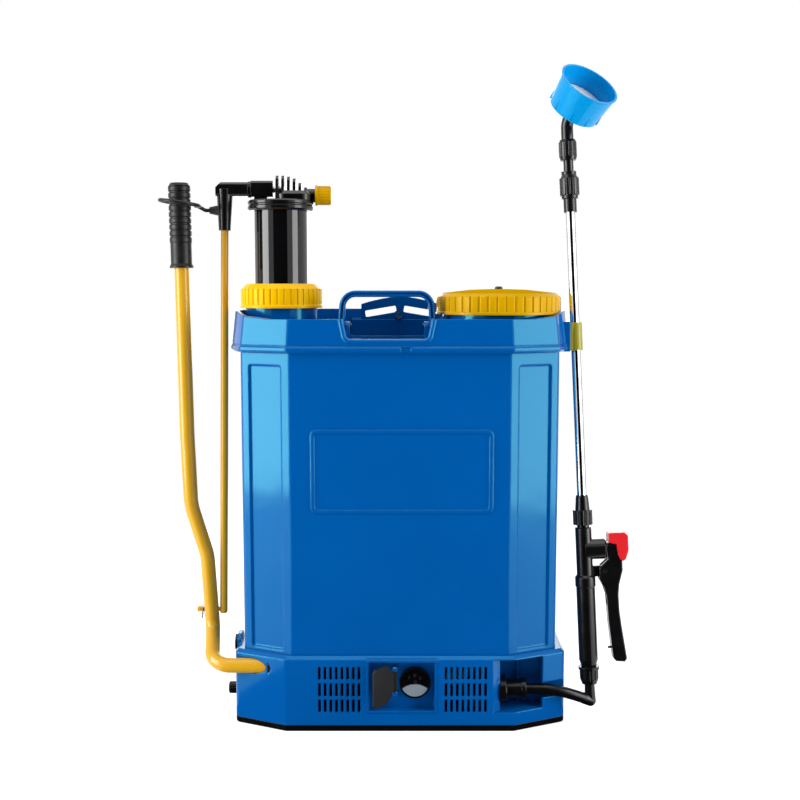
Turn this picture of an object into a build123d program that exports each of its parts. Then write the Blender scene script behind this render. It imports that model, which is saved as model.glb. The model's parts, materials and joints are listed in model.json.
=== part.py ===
"""Knapsack sprayer with a lever pump and a battery pump, in millimetres.

The origin is the centre of the base's underside. +Z is up, the tank's broad front faces -Y,
and the wearer's back is at +Y. +X is to the right for someone who looks at the front.
"""
from build123d import *
from functools import cache
from math import cos, radians, sin, sqrt, tan
import os

os.makedirs("parts", exist_ok=True)

# ---------------------------------------------------------------- driving sizes
# Clearances
RUN_GAP = 0.4            # between bodies that move past each other
SHAFT_GAP = 0.06         # radial, a shaft in its bore
FIT_GAP = 0.05           # radial, pieces that are pressed or screwed together

# Base housing
BASE_HALF = 190.0        # half the width
BASE_FRONT_HALF = BASE_HALF - 60.5  # half the width of the flat front
BASE_FRONT = -100.0      # y of the front
BASE_BACK = 100.0        # y of the back
BASE_FACET = 28.0        # how far the slanted corners run back
PLATE_T = 7.3            # bottom plate
BASE_TOP = 87.2
BASE_WALL = 3.0
BASE_ROOF = 4.0          # top wall, which carries the tank
BASE_CORNER = 6.0
BASE_BEVEL = 4.0
SCREW_HOLE_R = 2.1

# Vent grids in the front
VENT_COLUMNS = 8
VENT_ROWS = ((22.7, 37.3), (41.1, 56.3), (60.7, 75.2))
VENT_ROOM = 14.8         # plain skin beside the right grid, both sides together

# Charging window
WINDOW_X = (-35.0, 39.0)
WINDOW_Z = (24.4, 80.4)
WINDOW_DEEP = 13.0
WINDOW_LIP = 2.6
SOCKET_X = 17.0
SOCKET_Z = 54.0
SOCKET_R = 17.7
SOCKET_PROUD = 6.5
PIN_R = 1.8
FLAP_HINGE_X = -5.7
FLAP_HINGE_Y = -95.8
FLAP_T = 2.8
FLAP_Z = (35.5, 79.4)
FLAP_REACH = 37.0
FLAP_OPEN = 50.0         # degrees that the open flap stands out from the front
FLAP_PIN_R = 1.5
FLAP_KNUCKLE_R = 3.0

# Outlet bay in the right corner
BAY_LEFT = BASE_HALF - 76.0      # the face that the outlet seats on
BAY_MOUTH = BAY_LEFT - 9.0
BAY_RIGHT = BASE_HALF - 27.0
BAY_BACK = -59.0
BAY_Z = (22.0, 83.0)
BAY_RIB_X = BAY_LEFT + 23.0
OUTLET_Y = -80.0
OUTLET_Z = 43.0
OUTLET_FLANGE_R = 16.0
OUTLET_FLANGE_T = 8.0
OUTLET_NUT_R = 11.2
OUTLET_NUT_L = 21.7
OUTLET_NUT_END = BAY_LEFT + 30.3
OUTLET_SHANK_R = 7.0

# Pitch and places of the vent grids, between the window and the bay
VENT_PITCH = (BAY_MOUTH - WINDOW_X[1] - VENT_ROOM) / VENT_COLUMNS
VENT_W = 0.46875 * VENT_PITCH
VENT_LEFT = WINDOW_X[0] - 4.9 - VENT_COLUMNS * VENT_PITCH    # first column of the left grid
VENT_RIGHT = WINDOW_X[1] + 13.0                              # first column of the right grid

# Tank
TANK_HALF = BASE_HALF - 10.0
TANK_FRONT_HALF = BASE_FRONT_HALF - 7.5
TANK_FRONT = -95.0
TANK_BACK = 95.0
TANK_FACET = 27.0
TANK_WALL = 4.0
TANK_CORNER = 7.0
DECK_Z = 442.5
BACK_HOLLOW = 10.0       # how far the back curves in for the wearer
PANEL_W = 43.0           # sunk panels on the slanted corners
PANEL_Z = (90.5, 416.5)
PANEL_DEEP = 2.4
PANEL_CORNER = 1.5
LABEL_X = (-TANK_FRONT_HALF + 22.3, TANK_FRONT_HALF - 18.0)
LABEL_Z = (250.0, 344.6)
LABEL_LINE = 4.6
LABEL_PROUD = 1.0

# Strap plate
STRAP_HALF = 47.5
STRAP_Y = 50.0
STRAP_T = 4.0
STRAP_SLOT = (38.0, 7.7)
STRAP_SLOT_X = 23.5
STRAP_SLOT_Z = 472.6
STRAP_SLOT_TILT = 9.5
STRAP_ARCH = ((0.0, 490.7), (21.0, 488.3), (38.0, 484.4), (STRAP_HALF, 481.5))
STRAP_SCREW = (-1.5, 467.0)
STRAP_SCREW_L = 14.0

# Tray round the tank's top
TRAY_HALF = TANK_HALF - 2.0
TRAY_FRONT_HALF = TANK_FRONT_HALF + 2.0
TRAY_FRONT = -100.0
TRAY_BACK = 99.0
TRAY_FACET = 25.0
TRAY_BULGE = 21.2        # how far the sides bow out
TRAY_WALL = 3.5
TRAY_TOP = 475.0
TRAY_FRONT_TOP = 467.0
TRAY_TAPER = 5.4         # degrees
BEAD_Z = (429.5, 438.0)
BEAD_PROUD = 1.3
BEAM_X = (-60.0, 55.0)
BEAM_FRONT = STRAP_Y - STRAP_T / 2
BEAM_TOP = 463.0
BACK_GAP_HALF = 45.5      # gap in the tray's back, where the straps pass

# Pump
PUMP_X = -(TANK_HALF - 41.0)
PUMP_Y = -5.0
PUMP_NECK_R = 42.5
PUMP_NECK_BORE = 38.0
PUMP_NECK_TOP = 496.0
NUT_R = 48.0
NUT_Z = (478.0, 506.0)
NUT_RIBS = 40
CHAMBER_R = 31.0
CHAMBER_WALL = 2.5
CHAMBER_Z = (300.0, 590.0)
HEAD_R = 38.5
HEAD_Z = (590.0, 602.0)
BARREL_WALL = 3.0
BARREL_BOTTOM = 186.0
BARREL_FLANGE = 3.0
GASKET_T = 1.0
PISTON_T = 14.0
PISTON_BORE_R = 6.0
PISTON_SCREW_BORE_R = 4.0
PISTON_FLANGE_R = 14.0
VALVE_R = 15.0
VALVE_L = 22.0
VALVE_HOLE_R = 4.0
VALVE_SEAT_H = 2.0
BALL_R = 6.0
JOURNAL_Z = 615.0
ARM_PIN_R = 3.5
FIN_TOPS = (630.0, 630.0, 629.0, 627.0, 622.0, 617.0)
FIN_FIRST_X = PUMP_X - 2.5
FIN_PITCH = 6.4
FIN_T = 3.4
DOME_X = (PUMP_X - 4.5, PUMP_X + 36.0)
DOME_HALF = 22.0
DOME_TOP = 612.7
SPOUT_R = 8.0
CAP_R = 11.8
CAP_X = (PUMP_X + 40.7, PUMP_X + 59.4)
CAP_Z = 608.0

# Link from the pump's head to the lever
LINK_TOP_X = PUMP_X - 64.9
LINK_FOOT_X = LINK_TOP_X - 6.6
LINK_R = 4.5
LINK_PIN_R = 2.5
LINK_PIN_END_X = LINK_FOOT_X - 31.0
ELBOW_LEG = 47.5
ELBOW_FOOT_R = 6.9
ELBOW_RIGHT_X = PUMP_X - 34.2

# Lever
LEVER_Y = -80.0          # the lever's pivot
LEVER_Z = 70.5
LEVER_ARM = 75.7         # from the pivot to the link's pin
LEVER_REST = 49.4        # degrees from upright, the pin's place at rest
LEVER_SWING = 45.0       # degrees
LEVER_R = 8.5
LEVER_WALL = 1.6
LEVER_ROOM = 0.6         # radial, round the lever where it enters the base
LEVER_BACK = 55.0        # how far the upright part stands behind the pivot
GRIP_R = 12.5
GRIP_L = 96.6
GRIP_BOTTOM = 524.0
BUSH_WALL = 3.0
BUSH_X = (-BASE_HALF + 40.0, -BASE_HALF + 62.0)
HOOK_R = 22.4
HOOK_WIRE_R = 2.2
HOOK_Z = 598.0
HOOK_TILT = 8.0
HOOK_MOUTH = 42.5        # degrees each side of the opening

# Filler
LID_X = TANK_HALF - 65.0
LID_Y = -15.0
LID_R = 72.5
LID_Z = (471.0, 494.0)
LID_DOME = 6.0
LID_RIBS = 45
VENT_R = 2.0             # hole for the vent valve in the lid's middle
NECK_R = 65.0
NECK_WALL = 5.0
NECK_TOP = 487.0
BASKET_FLANGE = 2.0
BASKET_R = 56.0
BASKET_WALL = 2.0
BASKET_BOTTOM = 392.0
BASKET_CONE = 70.0       # height of the tapered part
BASKET_TAPER = 6.0
SEAL_T = 1.7

# Carry handle
HANDLE_X = (PUMP_X + NUT_R + 24.0, LID_X - LID_R - 5.0)      # centres of the legs
HANDLE_Y = -50.0
HANDLE_PIVOT_Z = 457.0
HANDLE_TOP_Z = 494.6
HANDLE_W = 7.6
HANDLE_D = 12.0
HANDLE_LEAN = 3.0
HANDLE_BEND = 15.0
HANDLE_PIN_R = 2.5
LUG_T = 5.5
LUG_R = 6.0
LUG_GAP = 0.9            # the legs lean towards the lugs

# Notch in the tray's front, before the carry handle
NOTCH_X = sum(HANDLE_X) / 2 + 0.75
NOTCH_HALF_TOP = (HANDLE_X[1] - HANDLE_X[0]) / 2 + 1.25
NOTCH_HALF_BOTTOM = NOTCH_HALF_TOP - 7.0
NOTCH_LIP_R = 3.0
NOTCH_LIP_BEND = 7.0

# Lance
LANCE_X = BASE_HALF + 31.5          # where its axis meets the ground
LANCE_Y = -74.2
LANCE_SLOPE_X = -0.0453
LANCE_SLOPE_Y = 0.0756
LANCE_R = 5.25
LANCE_WALL = 0.8
LANCE_Z = (240.0, 612.0)
HANDLE_BODY_R = 10.8
HANDLE_NECK_R = 9.4
TRIGGER_PIVOT = (22.5, 176.0)
TRIGGER_PIN_R = 2.0
TRIGGER_W = 14.0
STEM_Z = 201.0
STEM_R = 3.0
STEM_START = 9.0
STEM_END = 42.2
STEM_DISC_R = 5.6
STEM_LIFT = 2.4          # room over the stem, as the trigger turns
LATCH_GUIDE_X = (35.5, 40.5)
LATCH_GUIDE_HALF = 3.0
LATCH_HALF = 8.7
LATCH_BEVEL = 0.9
LATCH_RUN = 0.3
LATCH_BACK_X = 43.1
LATCH_GUIDE_Z = (STEM_Z + 7.0, STEM_Z + 16.0)
HOUSING_R = 11.8
HOUSING_END = 25.0
CLIP_Z = (430.0, 462.0)
CLIP_WALL = 3.0
CLIP_SEAT_X = TANK_HALF + 14.0
CLIP_Y = -40.5
CUP_AXIS = (0.39, -0.60, 0.70)
CUP_RIM_R = 34.0
CUP_FOOT_R = 29.8
CUP_H = 36.5
CUP_WALL = 1.5
CUP_FLOOR = 23.0         # how far the floor lies below the rim
NECK_BEND_Z = 690.0
NECK_TO_CUP = 16.0
SPOUT_TUBE_R = 7.0

# Hose
HOSE_R = 6.2
HOSE_BEND_SHARE = 0.45
HOSE_ROUTE = (
    (BAY_LEFT + 26.0, OUTLET_Y, OUTLET_Z),
    (BAY_LEFT + 47.0, OUTLET_Y, OUTLET_Z),
    (BAY_LEFT + 65.0, -81.5, 41.5),
    (BAY_LEFT + 83.0, -79.5, 36.5),
    (BAY_LEFT + 97.7, -74.9, 29.9),
)
TAIL_REACH = 10.0        # from the hose's end to the elbow's corner
HOSE_EXIT_Y = (-101.0, -71.0)    # slot in the bay's right side, round the hose
HOSE_EXIT_Z = (33.5, 51.5)
TAIL_TOP_Z = 64.0

# Battery side, inside the base
BATTERY = (151.0, 65.0, 68.0)
BATTERY_AT = (-20.0, 48.0)
PUMP_HEAD_X = (BAY_LEFT - 44.0, BAY_LEFT - 14.0)
PUMP_HEAD_Y = (-45.0, 0.0)
PUMP_HEAD_Z = (OUTLET_Z - 22.5, OUTLET_Z + 22.5)
MOTOR_R = 18.0
MOTOR_L = 62.0
SWITCH_Y = -40.0
SWITCH_Z = 29.6
SWITCH_R = 7.0
SWITCH_PROUD = 12.0
SWITCH_SHAFT_R = 3.0
DRAIN_AT = (LID_X - 25.0, 50.0)
DRAIN_R = 8.0
EAR_X = (-BASE_HALF - 1.5, -BASE_HALF + 3.0)
EAR_Y = (-45.0, -19.0)
EAR_HOLE_R = 3.0
EAR_HOLE_Z = 89.0


# ---------------------------------------------------------------- small helpers
STANDING = (Align.CENTER, Align.CENTER, Align.MIN)


def block(x, y, z):
    """A box from three (low, high) pairs."""
    size = [high - low for low, high in (x, y, z)]
    middle = [(high + low) / 2 for low, high in (x, y, z)]
    return Pos(*middle) * Box(*size)


def rod_z(radius, z0, z1, x=0.0, y=0.0):
    return Pos(x, y, z0) * Cylinder(radius, z1 - z0, align=STANDING)


def rod_x(radius, x0, x1, y=0.0, z=0.0):
    upright = Cylinder(radius, x1 - x0, align=STANDING)
    return Pos(x0, y, z) * Rot(0, 90, 0) * upright


def rod_y(radius, y0, y1, x=0.0, z=0.0):
    upright = Cylinder(radius, y1 - y0, align=STANDING)
    return Pos(x, y0, z) * Rot(-90, 0, 0) * upright


def ring_z(outer, inner, z0, z1, x=0.0, y=0.0):
    return rod_z(outer, z0, z1, x, y) - rod_z(inner, z0 - 1, z1 + 1, x, y)


def turned(points, x=0.0, y=0.0):
    """A solid of revolution about a vertical axis, from (radius, height) points."""
    profile = Plane.XZ * make_face(Polyline(*points, close=True))
    return Pos(x, y, 0) * revolve(profile, Axis.Z)


def plan(half, front_half, front, facet, back, corner, bulge=0.0):
    """The outline seen from above: flat front, slanted corners, sides that may bow out."""
    knee = front + facet
    middle = (knee + back) / 2
    if bulge:
        right = ThreePointArc((half, knee), (half + bulge, middle), (half, back))
        left = ThreePointArc((-half, back), (-half - bulge, middle), (-half, knee))
    else:
        right = Line((half, knee), (half, back))
        left = Line((-half, back), (-half, knee))
    edges = [
        Line((-front_half, front), (front_half, front)),
        Line((front_half, front), (half, knee)),
        right,
        Line((half, back), (-half, back)),
        left,
        Line((-half, knee), (-front_half, front)),
    ]
    outline = make_face(Curve() + edges)
    return fillet(outline.vertices(), corner)


def save(name, shape):
    export_step(shape, "parts/" + name + ".step")


def group(*solids):
    return Compound(children=list(solids))


# The lance's own frame: its axis is the local Z, its trigger is on the local +X side
lance_axis = Vector(LANCE_SLOPE_X, LANCE_SLOPE_Y, 1.0).normalized()
lance_side = Vector(1, 0, 0) - lance_axis * lance_axis.X
lance = Plane(origin=(LANCE_X, LANCE_Y, 0), x_dir=lance_side.normalized(), z_dir=lance_axis)


def up(z):
    """Distance along the lance's axis of the point at height z."""
    return z / lance_axis.Z


def on_lance(z):
    return Vector(LANCE_X + LANCE_SLOPE_X * z, LANCE_Y + LANCE_SLOPE_Y * z, z)


# ---------------------------------------------------------------- base
def base_outline(shrink=0.0):
    outline = plan(BASE_HALF, BASE_FRONT_HALF, BASE_FRONT, BASE_FACET, BASE_BACK, BASE_CORNER)
    return offset(outline, -shrink, kind=Kind.INTERSECTION) if shrink else outline


side_post = BASE_HALF - 25.0
SCREW_SPOTS = [(-side_post, 0.0), (-side_post, 85.0), (side_post, 0.0), (side_post, 85.0),
               (-BASE_FRONT_HALF + 29.5, -88.0), (WINDOW_X[1] + 8.0, -90.0)]
tank_post = TANK_HALF - 30.0
TANK_SCREW_SPOTS = [(-tank_post, 20.0), (tank_post, 20.0), (-60.0, -70.0), (60.0, -70.0)]


def make_base_plate():
    plate = extrude(base_outline(), PLATE_T)
    plate = chamfer(plate.faces().sort_by(Axis.Z)[0].edges(), 1.5)
    for x, y in SCREW_SPOTS:
        plate -= rod_z(SCREW_HOLE_R, -1, PLATE_T + 1, x, y)
        plate -= rod_z(4.6, -1, 3.0, x, y)
    return plate


def make_base_screws():
    screws = []
    for x, y in SCREW_SPOTS:
        head = rod_z(4.2, 0.8, 3.0, x, y)
        shank = rod_z(SCREW_HOLE_R - FIT_GAP, 3.0, PLATE_T + 14.0, x, y)
        slot = block((x - 3.0, x + 3.0), (y - 0.5, y + 0.5), (0, 1.8))
        screws.append(head + shank - slot)
    return screws


def bay_shape(grow, z):
    """The outlet bay's hollow, or its lining when grown by a wall."""
    mouth = BASE_FRONT - 1.0
    knee = BASE_FRONT + (BAY_LEFT - BAY_MOUTH)
    right = BAY_RIGHT + grow
    points = [
        (BAY_MOUTH - grow, mouth),
        (BAY_MOUTH - grow, BASE_FRONT + grow / 2),
        (BAY_LEFT - grow, knee + grow / 2),
        (BAY_LEFT - grow, BAY_BACK + grow),
        (right, BAY_BACK + grow),
        (right, mouth),
    ]
    return Pos(0, 0, z[0]) * extrude(make_face(Polyline(*points, close=True)), z[1] - z[0])


def vent_cuts():
    cuts = []
    for first in (VENT_LEFT, VENT_RIGHT):
        for column in range(VENT_COLUMNS):
            x = first + column * VENT_PITCH
            for low, high in VENT_ROWS:
                across = (x - VENT_W / 2, x + VENT_W / 2)
                cuts.append(block(across, (BASE_FRONT - 1, BASE_FRONT + BASE_WALL + 1), (low, high)))
    return cuts


def make_base_shell():
    height = BASE_TOP - PLATE_T
    outer = Pos(0, 0, PLATE_T) * extrude(base_outline(), height)
    outer = chamfer(outer.faces().sort_by(Axis.Z)[-1].edges(), BASE_BEVEL)
    hollow = Pos(0, 0, PLATE_T) * extrude(base_outline(BASE_WALL), height - BASE_ROOF)
    shell = outer - hollow
    roof = BASE_TOP - BASE_ROOF / 2
    # lining of the outlet bay, kept inside the outer skin
    bay_lining = bay_shape(BASE_WALL, (BAY_Z[0] - BASE_WALL, roof)) & outer
    # walls of the slot that the hose leaves through
    hose_walls = block((BAY_RIGHT, BASE_HALF), (HOSE_EXIT_Y[0], HOSE_EXIT_Y[1] + BASE_WALL),
                       (HOSE_EXIT_Z[0] - BASE_WALL, HOSE_EXIT_Z[1] + BASE_WALL)) & outer
    # lining and lip of the charging window
    window_back = BASE_FRONT + WINDOW_DEEP
    lining = block((WINDOW_X[0] - BASE_WALL, WINDOW_X[1] + BASE_WALL),
                   (BASE_FRONT + 1, window_back + BASE_WALL), (WINDOW_Z[0] - BASE_WALL, roof))
    lip = block((WINDOW_X[0] - WINDOW_LIP, WINDOW_X[1] + WINDOW_LIP), (BASE_FRONT - 0.8, BASE_FRONT + 1),
                (WINDOW_Z[0] - WINDOW_LIP, WINDOW_Z[1] + WINDOW_LIP))
    # bearing for the lever, hung from the roof
    bearing = rod_x(LEVER_R + BUSH_WALL + 4.0, *BUSH_X, LEVER_Y, LEVER_Z)
    bearing += block(BUSH_X, (LEVER_Y - 6, LEVER_Y + 6), (LEVER_Z, roof))
    bearing = bearing & outer
    posts = [rod_z(5.0, PLATE_T, roof, x, y) for x, y in SCREW_SPOTS]
    shell = shell + bay_lining + hose_walls + lining + lip + bearing + posts + strap_ear()
    cuts = vent_cuts()
    cuts.append(bay_shape(0.0, BAY_Z))
    cuts.append(block((BAY_RIGHT - 1, BASE_HALF + 1), HOSE_EXIT_Y, HOSE_EXIT_Z))
    cuts.append(block(WINDOW_X, (BASE_FRONT - 2, window_back), WINDOW_Z))
    cuts.append(rod_y(SOCKET_R - 3.0, window_back - 1, window_back + BASE_WALL + 1, SOCKET_X, SOCKET_Z))
    cuts.append(rod_x(LEVER_R + LEVER_ROOM, -BASE_HALF - 5, BUSH_X[0] - 1, LEVER_Y, LEVER_Z))
    cuts.append(rod_x(LEVER_R + BUSH_WALL, BUSH_X[0] - 1, BUSH_X[1] + 1, LEVER_Y, LEVER_Z))
    cuts.append(rod_x(OUTLET_SHANK_R + FIT_GAP, BAY_LEFT - 6, BAY_LEFT + 1, OUTLET_Y, OUTLET_Z))
    cuts.append(rod_x(SWITCH_SHAFT_R + 1.0, -BASE_HALF - 1, -BASE_HALF + BASE_WALL + 1, SWITCH_Y, SWITCH_Z))
    cuts.append(rod_z(DRAIN_R + FIT_GAP, BASE_TOP - BASE_ROOF - 1, BASE_TOP + 1, *DRAIN_AT))
    for x, y in SCREW_SPOTS:
        cuts.append(rod_z(SCREW_HOLE_R, PLATE_T - 1, PLATE_T + 16.0, x, y))
    for x, y in TANK_SCREW_SPOTS:
        cuts.append(rod_z(SCREW_HOLE_R, BASE_TOP - BASE_ROOF - 1, BASE_TOP + 1, x, y))
    rib = block((BAY_RIB_X - 1.5, BAY_RIB_X + 1.5), (BAY_BACK - 4.0, BAY_BACK + 0.5), BAY_Z)
    return shell - cuts + rib + flap_ears()


def strap_ear():
    """The ear at the left that the lower strap ring hangs on."""
    ear = block((EAR_X[0], EAR_X[1]), EAR_Y, (BASE_TOP - 14.0, BASE_TOP + 7.5))
    ear = chamfer(ear.edges().filter_by(Axis.X).group_by(Axis.Z)[-1], 6.0)
    return ear - rod_x(EAR_HOLE_R, EAR_X[0] - 1, EAR_X[1] + 1, sum(EAR_Y) / 2, EAR_HOLE_Z)


def flap_ear_heights():
    low, high = FLAP_Z
    return (low + 6, low + 10), (high - 10, high - 6)


def flap_ears():
    """Hinge ears of the socket's flap, on the window's back."""
    window_back = BASE_FRONT + WINDOW_DEEP
    r = FLAP_KNUCKLE_R
    ears = []
    for z in flap_ear_heights():
        ear = block((FLAP_HINGE_X - r, FLAP_HINGE_X + r), (FLAP_HINGE_Y, window_back + 0.5), z)
        ear += rod_z(r, *z, FLAP_HINGE_X, FLAP_HINGE_Y)
        ears.append(ear - rod_z(FLAP_PIN_R + FIT_GAP, z[0] - 1, z[1] + 1, FLAP_HINGE_X, FLAP_HINGE_Y))
    return ears


# ---------------------------------------------------------------- tank
def tank_plan(shrink=0.0):
    outline = plan(TANK_HALF, TANK_FRONT_HALF, TANK_FRONT, TANK_FACET, TANK_BACK, TANK_CORNER)
    if shrink:
        outline = offset(outline, -shrink, kind=Kind.INTERSECTION)
    reach = TANK_HALF - 30.0
    radius = (reach ** 2 + BACK_HOLLOW ** 2) / (2 * BACK_HOLLOW)
    hollow = Pos(0, TANK_BACK - shrink - BACK_HOLLOW + radius) * Circle(radius)
    return outline - hollow


def tray_plan(grow=0.0):
    return plan(TRAY_HALF + grow, TRAY_FRONT_HALF + grow / 2, TRAY_FRONT - grow, TRAY_FACET,
                TRAY_BACK + grow, TANK_CORNER, TRAY_BULGE)


def facet_plane(side):
    """The plane of a slanted corner; its local X runs along the corner, its Y is up."""
    run = TANK_HALF - TANK_FRONT_HALF
    middle = side * (TANK_HALF + TANK_FRONT_HALF) / 2
    along = Vector(side * run, TANK_FACET, 0).normalized()
    outward = Vector(side * TANK_FACET, -run, 0).normalized()
    if side < 0:
        along = along * -1
    return Plane(origin=(middle, TANK_FRONT + TANK_FACET / 2, 0), x_dir=along, z_dir=outward)


def facet_panels():
    """A sunk panel with sloping sides in each slanted corner."""
    cuts = []
    height = PANEL_Z[1] - PANEL_Z[0]
    middle = sum(PANEL_Z) / 2
    for side in (-1, 1):
        corner = facet_plane(side)
        rings = []
        for rise in (PANEL_DEEP, -PANEL_DEEP):
            ring = RectangleRounded(PANEL_W + 2 * rise, height + 2 * rise, PANEL_CORNER + PANEL_DEEP + rise)
            rings.append(corner.offset(rise) * (Pos(0, middle) * ring))
        cuts.append(loft(rings))
    return cuts


def label_frame():
    wide = LABEL_X[1] - LABEL_X[0]
    tall = LABEL_Z[1] - LABEL_Z[0]
    middle = (sum(LABEL_X) / 2, TANK_FRONT + 0.5, sum(LABEL_Z) / 2)
    face = Plane(origin=middle, x_dir=(1, 0, 0), z_dir=(0, -1, 0))
    ring = RectangleRounded(wide, tall, 7.0)
    ring -= RectangleRounded(wide - 2 * LABEL_LINE, tall - 2 * LABEL_LINE, 4.0)
    frame = extrude(face * ring, LABEL_PROUD + 0.5)
    return chamfer(frame.faces().sort_by(Axis.Y)[0].edges(), LABEL_PROUD * 0.6)


def leaning_wall(grow, low, high):
    """The tray's outline, leaning inwards between two heights."""
    lean = (high - low) * tan(radians(TRAY_TAPER))
    return loft([Pos(0, 0, low) * tray_plan(grow), Pos(0, 0, high) * tray_plan(grow - lean)], ruled=True)


def tray_wall():
    outer = leaning_wall(0.0, BEAD_Z[1] - 1.0, TRAY_TOP)
    hollow = leaning_wall(-TRAY_WALL, DECK_Z, TRAY_TOP + 1.0)
    slope = Polyline((TRAY_FRONT - 10, TRAY_FRONT_TOP), (TRAY_FRONT + 15, TRAY_FRONT_TOP),
                     (TRAY_FRONT + 60, TRAY_TOP + 1), (TRAY_FRONT + 60, TRAY_TOP + 20),
                     (TRAY_FRONT - 10, TRAY_TOP + 20), close=True)
    front_cut = extrude(Plane.YZ * make_face(slope), TANK_HALF * 1.5, both=True)
    notch = Polyline((NOTCH_X - NOTCH_HALF_BOTTOM, DECK_Z), (NOTCH_X + NOTCH_HALF_BOTTOM, DECK_Z),
                     (NOTCH_X + NOTCH_HALF_TOP, TRAY_TOP), (NOTCH_X - NOTCH_HALF_TOP, TRAY_TOP), close=True)
    notch_cut = Pos(0, TRAY_FRONT + 12, 0) * extrude(Plane.XZ * make_face(notch), 24.0)
    return outer - hollow - front_cut - notch_cut


def notch_lip():
    """A rolled edge round the notch."""
    lean = tan(radians(TRAY_TAPER))
    corners = []
    for side, low in ((-1, False), (-1, True), (1, True), (1, False)):
        z = DECK_Z if low else TRAY_FRONT_TOP
        share = (z - DECK_Z) / (TRAY_TOP - DECK_Z)
        half = NOTCH_HALF_BOTTOM + share * (NOTCH_HALF_TOP - NOTCH_HALF_BOTTOM)
        y = TRAY_FRONT + TRAY_WALL / 2 + lean * (z - BEAD_Z[1])
        corners.append((NOTCH_X + side * half, y, z))
    path = FilletPolyline(*corners, radius=NOTCH_LIP_BEND)
    start = Plane(origin=path @ 0, z_dir=path % 0)
    return sweep(start * Circle(NOTCH_LIP_R), path)


def tray_bead():
    tall = BEAD_Z[1] - BEAD_Z[0]
    bead = Pos(0, 0, BEAD_Z[0]) * extrude(tray_plan(BEAD_PROUD), tall)
    return chamfer(bead.faces().sort_by(Axis.Z)[0].edges() + bead.faces().sort_by(Axis.Z)[-1].edges(), 2.6)


@cache
def tank_moulding():
    """The whole blow moulding: tank, tray and necks."""
    body = Pos(0, 0, BASE_TOP) * extrude(tank_plan(), DECK_Z - BASE_TOP)
    body += tray_bead() + tray_wall() + label_frame() + notch_lip()
    body += block(BEAM_X, (BEAM_FRONT, TRAY_BACK - TRAY_WALL), (DECK_Z - 1, BEAM_TOP))
    screw_x, screw_z = STRAP_SCREW
    boss = rod_y(7.0, STRAP_Y + STRAP_T / 2, STRAP_Y + 20, screw_x, screw_z)
    boss += block((screw_x - 7, screw_x + 7), (STRAP_Y + STRAP_T / 2, STRAP_Y + 20), (BEAM_TOP - 1, screw_z))
    body += boss
    # necks for the pump and the filler
    body += rod_z(PUMP_NECK_R, DECK_Z - 1, PUMP_NECK_TOP, PUMP_X, PUMP_Y)
    body += rod_z(NECK_R, DECK_Z - 1, NECK_TOP, LID_X, LID_Y)
    for x in HANDLE_X:
        body += handle_lug(x)
    body += block((TANK_HALF - 1, CLIP_SEAT_X), (CLIP_Y - 11, CLIP_Y + 11), (CLIP_Z[0] - 1, CLIP_Z[1] + 1))
    floor = BASE_TOP + TANK_WALL
    inside = Pos(0, 0, floor) * extrude(tank_plan(TANK_WALL), DECK_Z - TANK_WALL - floor)
    for x, y in TANK_SCREW_SPOTS:
        inside -= rod_z(7.0, BASE_TOP, BASE_TOP + 18.0, x, y)
    cuts = facet_panels()
    cuts.append(inside)
    cuts.append(rod_z(PUMP_NECK_BORE, DECK_Z - TANK_WALL - 1, PUMP_NECK_TOP + 1, PUMP_X, PUMP_Y))
    cuts.append(rod_z(NECK_R - NECK_WALL, DECK_Z - TANK_WALL - 1, NECK_TOP + 1, LID_X, LID_Y))
    cuts.append(rod_z(DRAIN_R + FIT_GAP, BASE_TOP - 1, BASE_TOP + TANK_WALL + 1, *DRAIN_AT))
    cuts.append(rod_y(1.8, STRAP_Y - 1, STRAP_Y + 18, screw_x, screw_z))
    mark = Pos(6.5, TRAY_FRONT - BEAD_PROUD - 0.2, BEAD_Z[0] + 4.0) * Box(11.0, 3.2, 5.0)
    cuts.append(mark)
    for x, y in TANK_SCREW_SPOTS:
        cuts.append(rod_z(SCREW_HOLE_R, BASE_TOP - 1, BASE_TOP + 14.0, x, y))
    cuts.append(rod_x(SCREW_HOLE_R, CLIP_SEAT_X - 13, CLIP_SEAT_X + 1, CLIP_Y, sum(CLIP_Z) / 2))
    across = (-BACK_GAP_HALF, BACK_GAP_HALF)
    cuts.append(block(across, (TRAY_BACK - 20, TRAY_BACK + 5), (BEAM_TOP, TRAY_TOP + 1)))
    # the bead stops short of the lance clip
    cuts.append(block((CLIP_SEAT_X, CLIP_SEAT_X + 10), (CLIP_Y - 9 - RUN_GAP, CLIP_Y + 9 + RUN_GAP), CLIP_Z))
    return body - cuts


def tank_slice(low, high):
    """The part of the moulding between two heights."""
    wide = 2 * BASE_HALF
    return tank_moulding() & block((-wide, wide), (-wide, wide), (low, high))


def neck_room():
    """The space that the two necks stand in."""
    pump = rod_z(PUMP_NECK_R, DECK_Z, PUMP_NECK_TOP + 1, PUMP_X, PUMP_Y)
    return pump + rod_z(NECK_R, DECK_Z, NECK_TOP + 1, LID_X, LID_Y)


def make_tank_shell():
    return tank_slice(0, BEAD_Z[1])


def make_tank_tray():
    return tank_slice(BEAD_Z[1], PUMP_NECK_TOP + 1) - neck_room()


def make_tank_necks():
    return group(*(tank_slice(DECK_Z, PUMP_NECK_TOP + 1) & neck_room()).solids())


def make_tank_screws():
    screws = []
    low = BASE_TOP - BASE_ROOF
    for x, y in TANK_SCREW_SPOTS:
        shank = rod_z(SCREW_HOLE_R - FIT_GAP, low, BASE_TOP + 13.0, x, y)
        screws.append(rod_z(5.0, low - 3.0, low, x, y) + shank)
    return screws


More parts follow.
